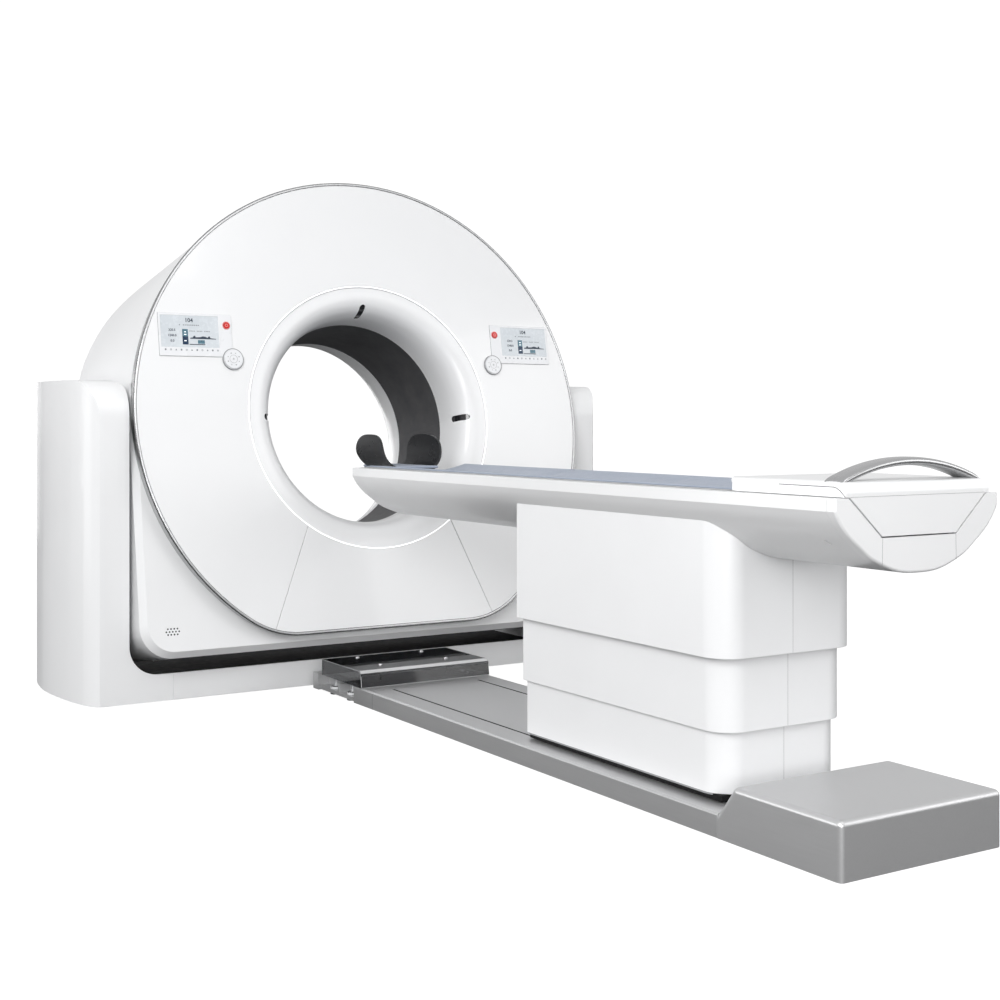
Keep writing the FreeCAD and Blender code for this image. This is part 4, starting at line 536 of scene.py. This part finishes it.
    # key pad: grey rim, inner ring and radial marks on the pressed cap
    kx, kz = sx * 578.0, 215.5
    bm = bmesh.new()
    lathe(bm, [(38.6, -399.4), (40.2, -400.1), (41.6, -398.8), (41.8, -393.2), (40.0, -393.0), (38.4, -398.0)], kx, kz, 96)
    from_bm("keypad_rim_" + side, bm, "rim_grey", "gantry", RING)
    bm = bmesh.new()
    lathe(bm, [(14.6, -402.5), (15.8, -402.5), (15.8, -402.1), (14.6, -402.1)], kx, kz, 56)
    for k in range(8):
        a = math.radians(22.5 + 45 * k)
        c_, s_ = math.cos(a), math.sin(a)
        pts = [(22.0, -2.6), (26.5, 0.0), (22.0, 2.6)] if k % 2 else [(21.5, -2.2), (26.0, -2.2), (26.0, 2.2), (21.5, 2.2)]
        prism(bm, [(kx + r * c_ - t * s_, kz + r * s_ + t * c_) for r, t in pts], -402.45, -402.1)
    prism(bm, pill(kx - 5.0, kz - 1.0, kx + 5.0, kz + 1.0, 0.9, 3), -402.45, -402.1)
    prism(bm, pill(kx - 1.0, kz - 5.0, kx + 1.0, kz + 5.0, 0.9, 3), -402.44, -402.1)
    from_bm("keypad_marks_" + side, bm, "seam_pale", side + "_keys", RING, smooth=False)
    # stop button: dished cap mark and pale collar
    bx, bz = sx * 598.0, 345.0
    bm = bmesh.new()
    lathe(bm, [(12.9, -397.6), (14.2, -398.2), (15.6, -397.5), (15.7, -397.0), (12.8, -396.6)], bx, bz, 64)
    from_bm("stop_collar_" + side, bm, "pale_red", "gantry", RING)
    bm = bmesh.new()
    lathe(bm, [(4.2, -400.55), (6.0, -400.55), (6.0, -400.1), (4.2, -400.1)], bx, bz, 40)
    from_bm("stop_mark_" + side, bm, "pale_red", side + "_stop", RING)

# ---------------------------------------------------------------- gantry small parts
bm = bmesh.new()
prism(bm, pill(-892.0, -812.0, -808.0, -760.0, 8.0), -327.0, -324.0)
from_bm("speaker_mesh", bm, "black", "gantry", RING)
bm = bmesh.new()
for j, n_ in enumerate((4, 5, 4)):
    for i in range(n_):
        cx, cz = -850.0 + (i - (n_ - 1) / 2) * 12.0, -786.0 + (1 - j) * 10.4
        lathe(bm, [(0, -332.0), (2.9, -332.0), (3.1, -332.45), (2.2, -332.5), (1.9, -332.1), (0, -332.05)], cx, cz, 20, "y", False)
from_bm("speaker_dots", bm, "black", "gantry", RING)
tube("light_line", [(526.6 * math.cos(2 * math.pi * i / 160), -391.7, 526.6 * math.sin(2 * math.pi * i / 160)) for i in range(160)],
     1.5, "glow", "gantry", RING, cyclic=True)


def loops_of(bm):
    """Boundary loops of an open mesh, each as an ordered list of points."""
    todo = {e for e in bm.edges if e.is_boundary}
    out = []
    while todo:
        e = min(todo, key=lambda k: k.index)
        todo.discard(e)
        a, b = e.verts
        line = [a.co.copy(), b.co.copy()]
        start, cur = a, b
        while cur != start:
            nxt = [k for k in cur.link_edges if k in todo]
            if not nxt:
                break
            todo.discard(nxt[0])
            cur = nxt[0].other_vert(cur)
            line.append(cur.co.copy())
        out.append(line[:-1] if (line[0] - line[-1]).length < 1e-7 else line)
    return sorted(out, key=len, reverse=True)


# painted highlight: a lighter strip on the face of the trim ring, in a lighter copy of the trim's metal, standing for
# the glint along it
bm = bmesh.new()
bm.from_mesh(NODE["trim_ring"].data)
bm.transform(RING.inverted())
bmesh.ops.remove_doubles(bm, verts=bm.verts, dist=2e-6)
low_u = min(v.co.y for v in bm.verts)
bmesh.ops.delete(bm, geom=[f for f in bm.faces if max(v.co.y for v in f.verts) > low_u + 0.00006], context="FACES")
bm.edges.index_update()
rims = loops_of(bm)[:2]
bm.free()
if len(rims) == 2:
    inner, outer = sorted(rims, key=lambda r: max(p.length for p in r))
    top = Vector((0, 0, 0))

    def nearest(p, ring):
        best = None
        for a, b in zip(ring, ring[1:] + ring[:1]):
            d = b - a
            t = max(0.0, min(1.0, (p - a).dot(d) / max(d.length_squared, 1e-14)))
            q = a + d * t
            if best is None or (q - p).length < best[0]:
                best = ((q - p).length, q)
        return best[1]

    dense = []
    for a, b in zip(inner, inner[1:] + inner[:1]):
        k = max(1, int((b - a).length / 0.02))
        dense += [a + (b - a) * (i / k) for i in range(k)]
    bm = bmesh.new()
    rows_ = []
    for p in dense:
        q = nearest(p, outer)
        row = []
        for f, h in ((0.16, 0.0), (0.26, 0.0007), (0.52, 0.0011), (0.78, 0.0007), (0.86, 0.0)):
            c = p + (q - p) * f
            row.append(bm.verts.new((c.x, low_u - h + 0.0001, c.z)))
        rows_.append(row)
    for a, b in zip(rows_, rows_[1:] + rows_[:1]):
        for i in range(4):
            bm.faces.new((a[i], a[i + 1], b[i + 1], b[i]))
        bm.faces.new((a[4], a[0], b[0], b[4]))
    from_bm("trim_painted_highlight", bm, "painted_highlight_trim", "gantry", RING, angle=50.0)
for tag, x0, x1 in (("a", -918.0, -522.0), ("b", 392.0, 918.0)):
    bm = bmesh.new()
    prism(bm, [(-309.5, -882.2), (-306.0, -884.6), (-299.0, -884.8), (-296.0, -882.0)], x0, x1, "x")
    bmesh.ops.bevel(bm, geom=bm.edges[:], offset=0.0003, segments=2, affect="EDGES")
    from_bm("edge_strip_" + tag, bm, "chrome_strip", "gantry", RING)

# ---------------------------------------------------------------- seams of the couch
GREY = "seam_pale"
for node, y, z0, z1, body in (("upper_cover", -2770.0, 436.0, 700.0, "table_top"), ("middle_cover", -2751.0, 244.0, 433.0, "mid_stage"),
                              ("lower_cover", -2736.0, 84.0, 241.0, "carriage")):
    tube(node + "_seam", [(0, y, z0), (0, y, z1)], 0.55, GREY, body)
for sx in (-1, 1):
    tag = "l" if sx < 0 else "r"
    tube("rail_seam_" + tag, [(sx * 271.0, -909.0, 1.0), (sx * 271.0, -909.0, 57.0)], 0.5, "seam", "stand")
    tube("tail_seam_" + tag, [(sx * 123.0, -3195.0, 769.0), (sx * 124.5, -3195.0, 706.0)], 0.6, GREY, "table_top")
    tube("deck_seam_" + tag, [(sx * 239.5, -2976.0, 886.4), (sx * 239.5, -3156.0, 886.2), (sx * 239.9, -3166.0, 884.2),
                              (sx * 240.0, -3177.0, 878.4), (sx * 240.0, -3186.0, 870.6), (sx * 240.0, -3193.5, 864.4)],
         0.95, "seam", "cradle_body")

# rounded nose of the tail cover where it meets the mattress
bm = bmesh.new()
nose = [(0.0, 0.0), (3.0, 1.2), (5.4, 4.4), (6.4, 9.0), (5.6, 13.8), (3.2, 17.0), (0.0, 18.2)]
prism(bm, [(-2800.0 + a, 880.2 + b) for a, b in nose], -231.0, 231.0, "x")
bmesh.ops.bevel(bm, geom=[e for e in bm.edges if abs(e.verts[0].co.x) > 0.2309 and abs(e.verts[1].co.x) > 0.2309 and
                          e.verts[0].co.x * e.verts[1].co.x > 0], offset=0.002, segments=2, affect="EDGES")
from_bm("deck_nose", bm, "shell", "cradle_body", angle=40.0)

# recessed skirt under the lower cover, close above the rail
bm = bmesh.new()
wall_o, wall_i = [], []
for inset, out in ((2.6, wall_o), (6.0, wall_i)):
    w_, a_, b_ = 210.0 - inset, -2736.0 + inset, -1824.0 - inset
    for cx, cy, r, a0 in ((w_ - 9.0, b_ - 9.0, 9.0, 0), (-w_ + 9.0, b_ - 9.0, 9.0, 90), (-w_ + 70.0, a_ + 70.0, 70.0, 180), (w_ - 70.0, a_ + 70.0, 70.0, 270)):
        for i in range(9):
            t = math.radians(a0 + 90 * i / 8)
            out.append((cx + r * math.cos(t), cy + r * math.sin(t)))
zs = ((0, 88.0), (0, 77.4), (1, 76.6), (1, 88.0))
loops_ = [[bm.verts.new((p[0] * MM, p[1] * MM, z * MM)) for p in (wall_i if k else wall_o)] for k, z in zs]
for a, b in zip(loops_, loops_[1:] + loops_[:1]):
    for i in range(len(a)):
        j = (i + 1) % len(a)
        bm.faces.new((a[i], a[j], b[j], b[i]))
from_bm("lower_skirt", bm, "rim_grey", "carriage")

tube("tail_panel_seam", [(-226.0, -3195.0, 864.2), (226.0, -3195.0, 864.2)], 0.5, GREY, "cradle_body")

# painted highlights: light grey glossy lines along the smoked cover's edges, standing for glints on the acrylic
for sx in (-1, 1):
    tag = "l" if sx < 0 else "r"
    tube("cover_edge_" + tag, [(sx * 271.3, -825.4, 63.6), (sx * 271.3, -818.6, 103.5), (sx * 271.3, -812.4, 116.8), (sx * 271.3, -797.6, 121.5),
                               (sx * 271.3, -491.0, 121.5)], 0.9, "edge_painted_highlight", "stand")
# light grey strip on the cover's front bend: a painted reflection of the lights on the curved acrylic
bm = bmesh.new()
bend = [(-815.4, 113.4), (-812.3, 117.4), (-806.4, 121.2), (-801.6, 122.1)]
prism(bm, [(y - 1.1, z + 0.9) for y, z in bend] + [(y + 0.7, z - 0.8) for y, z in reversed(bend)], -270.4, 270.4, "x")
from_bm("cover_bend_painted_reflection", bm, "bend", "stand", angle=40.0)
tube("cover_edge_low", [(-271.0, -825.3, 63.6), (271.0, -825.3, 63.6)], 0.8, "edge_painted_highlight", "stand")

# arched handle: full rounded bar whose ends roll down into the deck
half, rise, deck_z, hy = 243.0, 53.0, 899.0, -3146.0
arch = (half ** 2 + rise ** 2) / (2 * rise)
base = deck_z + 43.2 - arch
bm = bmesh.new()
rings = []
stations, around = 120, 44
for k in range(stations + 1):
    x = -231.0 * math.cos(math.pi * k / stations)
    t = math.asin(x / arch)
    fade = 1.0 if abs(x) < 213.0 else math.sqrt(max(0.0, 1 - ((abs(x) - 213.0) / 18.0) ** 2))
    fade = max(fade, 0.12)
    ring = []
    for i in range(around):
        a = 2 * math.pi * i / around
        c, q = math.cos(a), math.sin(a)
        dy = 31.5 * math.copysign(abs(c) ** 0.62, c)
        dn = 10.2 * fade * math.copysign(abs(q) ** 0.80, q)
        ring.append(bm.verts.new(((x + dn * math.sin(t)) * MM, (hy + dy) * MM, (base + arch * math.cos(t) + dn * math.cos(t)) * MM)))
    rings.append(ring)
for a, b in zip(rings, rings[1:]):
    for i in range(around):
        j = (i + 1) % around
        bm.faces.new((a[i], b[i], b[j], a[j]))
bm.faces.new(rings[0])
bm.faces.new(rings[-1][::-1])
bar = from_bm("handle_bar", bm, "handle", "cradle_body", angle=60.0)
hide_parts("grab_handle")

# brush seals along the two slots of the rail
bm = bmesh.new()
for sx in (-1, 1):
    for a, b in ((176.02, 177.3), (181.7, 182.98)):
        prism(bm, [(sx * a, 58.2), (sx * b, 58.2), (sx * b, 62.75), (sx * a, 62.75)], -2787.0, -894.2, "y")
from_bm("slot_seals", bm, "black", "stand", smooth=False)

# white pads and lock nuts of the levelling feet
for sx in (-1, 1):
    for k, y in enumerate((-562.0, -704.0)):
        tag = ("l" if sx < 0 else "r") + str(k)
        bm = bmesh.new()
        lathe(bm, [(0, 20.1), (21.4, 20.1), (22.6, 21.4), (22.6, 26.4), (21.0, 28.4), (14.0, 29.6), (8.5, 30.4), (8.0, 36.6), (4.4, 37.4),
                   (3.8, 38.4), (3.8, 55.0), (2.8, 56.4), (0, 56.4)], sx * 246.6, y, 48, "z", False)
        from_bm("foot_pad_" + tag, bm, "white_pad", "stand")


# ---------------------------------------------------------------- padded pieces
def settle(o, cap, pressure, pinned=None, frames=20, lift=None):
    """Swells a closed fabric form by inner pressure; no point moves more than cap (mm)."""
    start = [v.co.copy() for v in o.data.vertices]
    if pinned:
        g = o.vertex_groups.new(name="sewn")
        g.add(pinned, 1.0, "REPLACE")
    c = o.modifiers.new("cloth", "CLOTH")
    cs = c.settings
    cs.quality = 5
    cs.mass = 0.25
    cs.tension_stiffness = 12
    cs.compression_stiffness = 12
    cs.shear_stiffness = 5
    cs.bending_stiffness = 1.5
    cs.use_pressure = True
    cs.uniform_pressure_force = pressure
    cs.effector_weights.gravity = 0
    c.collision_settings.use_self_collision = False
    if pinned:
        cs.vertex_group_mass = "sewn"
    c.point_cache.frame_start, c.point_cache.frame_end = 1, frames
    sc = bpy.context.scene
    for f in range(1, frames + 1):
        sc.frame_set(f)
    dg = bpy.context.evaluated_depsgraph_get()
    me = bpy.data.meshes.new_from_object(o.evaluated_get(dg))
    o.modifiers.clear()
    o.vertex_groups.clear()
    end = [v.co.copy() for v in me.vertices]
    sc.frame_set(1)
    limit = cap * MM
    for v, a, b in zip(o.data.vertices, start, end):
        d = b - a
        if d.length > limit:
            d *= (limit * math.tanh(d.length / limit)) / d.length
        v.co = a + d
    bpy.data.meshes.remove(me)


def subdivide(o, levels=1):
    m = o.modifiers.new("sub", "SUBSURF")
    m.levels = m.render_levels = levels
    bake_modifiers(o)
    for p in o.data.polygons:
        p.use_smooth = True


def finish_pad(o, node, body, mat):
    dress(o, mat)
    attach(o, body)
    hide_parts(node)


# long mattress: a closed fabric case on the cradle's hollow, sewn round its edge and at two joins
PY0, PY1, PW = -2795.0, -759.0, 203.0
NX, NY = 40, 204
curve_z = lambda x: 843.0 + x * x / 1350.0
seams_y = (-1480.0, -2140.0)


def case_profile(j, y):
    """Across the width at one station: bottom edge to edge, then back over the top."""
    top, low = [], []
    ends = min(1.0, min(y - PY0, PY1 - y) / 14.0)
    full = math.sqrt(max(0.0, 1 - (1 - ends) ** 2))
    dip = 0.0
    for s in seams_y:
        dip = max(dip, math.exp(-((y - s) / 5.0) ** 2))
    for i in range(NX + 1):
        x = -PW + 2 * PW * i / NX
        e = min(1.0, (PW - abs(x)) / 12.0)
        r = math.sqrt(max(0.0, 1 - (1 - e) ** 2)) * full
        mid = curve_z(x) - 7.6
        top.append((x, y, mid + 5.4 * r - 2.2 * dip * r))
        low.append((x, y, mid - 4.2 * r))
    return top, low


bm = bmesh.new()
rows = []
for j in range(NY + 1):
    y = PY0 + (PY1 - PY0) * j / NY
    top, low = case_profile(j, y)
    vt = [bm.verts.new([c * MM for c in p]) for p in top]
    if j in (0, NY):
        vl = vt
    else:
        vl = [vt[0]] + [bm.verts.new([c * MM for c in p]) for p in low[1:-1]] + [vt[-1]]
    rows.append((vt, vl))
for j in range(NY):
    (t0, l0), (t1, l1) = rows[j], rows[j + 1]
    for i in range(NX):
        bm.faces.new((t0[i], t0[i + 1], t1[i + 1], t1[i]))
        q = []
        for v in (l0[i], l1[i], l1[i + 1], l0[i + 1]):
            if v not in q:
                q.append(v)
        if len(q) > 2:
            bm.faces.new(q)
bm.verts.index_update()
sewn = set()
for j, (vt, vl) in enumerate(rows):
    y = PY0 + (PY1 - PY0) * j / NY
    near = any(abs(y - s) < 6.0 for s in seams_y)
    for i, v in enumerate(vt):
        if i in (0, NX) or j in (0, NY) or near:
            sewn.add(v.index)
    for v in vl:
        sewn.add(v.index)
bmesh.ops.recalc_face_normals(bm, faces=bm.faces)
pad_me = bpy.data.meshes.new("mattress")
bm.to_mesh(pad_me)
bm.free()
mattress = bpy.data.objects.new("mattress", pad_me)
bpy.context.scene.collection.objects.link(mattress)
settle(mattress, 3.0, 2.0, sorted(sewn))
subdivide(mattress)
finish_pad(mattress, "table_pad", "cradle_body", "pad")
edge = []
for i in range(25):
    edge.append((-PW + 2 * PW * i / 24, PY0 + 1.0))
edge += [(PW - 0.5, PY0 + 12 + (PY1 - PY0 - 24) * i / 60) for i in range(61)]
edge += [(PW - 2 * PW * i / 24, PY1 - 1.0) for i in range(25)]
edge += [(-PW + 0.5, PY1 - 12 - (PY1 - PY0 - 24) * i / 60) for i in range(61)]
piping = tube("mattress_piping", [(x, y, curve_z(x) - 7.8) for x, y in edge], 2.9, "piping", "cradle_body",
              cyclic=True)
dress(piping, "pad")
for k, s in enumerate(seams_y):
    tube("mattress_stitch_%d" % k, [(x, s, curve_z(x) - 3.9) for x in [-196 + 392 * i / 28 for i in range(29)]], 0.7, "piping",
         "cradle_body")

# thin head cushion, slit for the two wings
src = NODE["head_cushion"]
me = src.data.copy()
me.name = "head_pad"
head_pad = bpy.data.objects.new("head_pad", me)
bpy.context.scene.collection.objects.link(head_pad)
rm = head_pad.modifiers.new("case", "REMESH")
rm.mode = "VOXEL"
rm.voxel_size = 0.0024
rm.use_smooth_shade = True
bake_modifiers(head_pad)
bm = bmesh.new()
bm.from_mesh(head_pad.data)
for _ in range(2):
    bmesh.ops.smooth_vert(bm, verts=bm.verts, factor=0.5, use_axis_x=True, use_axis_y=True, use_axis_z=True)
bm.normal_update()
for v in bm.verts:
    v.co -= v.normal * 0.0006
bm.to_mesh(head_pad.data)
bm.free()
settle(head_pad, 0.9, 4.0, None, 12)
bm = bmesh.new()
bm.from_mesh(head_pad.data)
bmesh.ops.smooth_vert(bm, verts=bm.verts, factor=0.4, use_axis_x=True, use_axis_y=True, use_axis_z=True)
bm.to_mesh(head_pad.data)
bm.free()
for p in head_pad.data.polygons:
    p.use_smooth = True
finish_pad(head_pad, "head_cushion", "cradle_body", "pad")

# ---------------------------------------------------------------- stage, light, camera
cam_data = bpy.data.cameras.new("camera")
cam = bpy.data.objects.new("camera", cam_data)
bpy.context.scene.collection.objects.link(cam)
cam.location = (-2.6447, -5.5697, 1.0440)
cam.rotation_euler = (math.radians(90), 0, math.radians(-32))
cam_data.sensor_width = 36.0
cam_data.lens = 52.45
cam_data.shift_y = -0.0821
cam_data.clip_start, cam_data.clip_end = 0.05, 200
bpy.context.scene.camera = cam

bm = bmesh.new()
bmesh.ops.create_grid(bm, x_segments=2, y_segments=2, size=60.0)
floor_me = bpy.data.meshes.new("floor")
bm.to_mesh(floor_me)
bm.free()
floor = bpy.data.objects.new("floor", floor_me)
bpy.context.scene.collection.objects.link(floor)
floor.location = (0, 0, -0.0005)
fm, fnt, fb, fout = new_mat("floor_white")
fv = coords(fnt)
fnt.links.new(ramp(fnt, noise(fnt, fv, 0.8, 3.0), (0.235, 0.235, 0.235), (0.25, 0.25, 0.25)), fb.inputs["Base Color"])
fb.inputs["Roughness"].default_value = 0.9
fb.inputs["Specular IOR Level"].default_value = 0.0
fb.inputs["Emission Color"].default_value = (1, 1, 1, 1)
fb.inputs["Emission Strength"].default_value = 0.92
fbounce = fnt.nodes.new("ShaderNodeBsdfDiffuse")
fbounce.inputs[0].default_value = (0.105, 0.105, 0.106, 1)
fpath = fnt.nodes.new("ShaderNodeLightPath")
fmix = fnt.nodes.new("ShaderNodeMixShader")
fnt.links.new(fpath.outputs["Is Camera Ray"], fmix.inputs[0])
fnt.links.new(fbounce.outputs[0], fmix.inputs[1])
fnt.links.new(fb.outputs[0], fmix.inputs[2])
fnt.links.new(fmix.outputs[0], fout.inputs[0])
floor_me.materials.append(fm)

# white seamless background; the light itself falls off from the ceiling to the horizon
world = bpy.data.worlds.new("studio")
bpy.context.scene.world = world
world.use_nodes = True
wt = world.node_tree
wt.nodes.clear()
wout = wt.nodes.new("ShaderNodeOutputWorld")
wtc = wt.nodes.new("ShaderNodeTexCoord")
wsep = wt.nodes.new("ShaderNodeSeparateXYZ")
wt.links.new(wtc.outputs["Generated"], wsep.inputs[0])
wr = wt.nodes.new("ShaderNodeValToRGB")
wr.color_ramp.elements[0].position = 0.0
wr.color_ramp.elements[0].color = (0.68, 0.68, 0.685, 1)
wr.color_ramp.elements[1].position = 0.75
wr.color_ramp.elements[1].color = (0.64, 0.64, 0.64, 1)
wt.links.new(wsep.outputs[2], wr.inputs[0])
wlight = wt.nodes.new("ShaderNodeBackground")
wlight.inputs[1].default_value = 1.0
wt.links.new(wr.outputs[0], wlight.inputs[0])
wsee = wt.nodes.new("ShaderNodeBackground")
wsee.inputs[0].default_value = (1, 1, 1, 1)
wsee.inputs[1].default_value = 1.05
wpath = wt.nodes.new("ShaderNodeLightPath")
wmix = wt.nodes.new("ShaderNodeMixShader")
wt.links.new(wpath.outputs["Is Camera Ray"], wmix.inputs[0])
wt.links.new(wlight.outputs[0], wmix.inputs[1])
wt.links.new(wsee.outputs[0], wmix.inputs[2])
wt.links.new(wmix.outputs[0], wout.inputs[0])


def area(name, loc, target, size, power, colour=(1, 1, 1), size_y=None):
    d = bpy.data.lights.new(name, "AREA")
    d.energy = power
    d.color = colour
    d.shape = "RECTANGLE"
    d.size = size
    d.size_y = size_y or size
    o = bpy.data.objects.new(name, d)
    bpy.context.scene.collection.objects.link(o)
    o.location = loc
    o.rotation_euler = (Vector(target) - Vector(loc)).to_track_quat("-Z", "Y").to_euler()
    return o


area("side_key", (-5.2, -5.0, 4.0), (0, -1.0, 0.8), 3.0, 240)
area("front_key", (0.5, -6.0, 5.5), (0, -0.8, 0.8), 2.6, 47)
area("low_front", (-3.2, -7.8, 1.1), (0, -1.5, 0.6), 4.0, 130, size_y=1.8)
area("left_rear", (-6.5, 2.6, 1.4), (-0.9, 0, 0.6), 3.0, 92)
area("right_fill", (4.6, -6.4, 2.4), (0.2, -0.8, 0.8), 3.0, 57)
area("back_fill", (0.5, 6.5, 0.9), (0, 0, 0.9), 3.0, 34, size_y=1.6)

scene = bpy.context.scene
scene.view_settings.view_transform = "Standard"
scene.view_settings.look = "None"
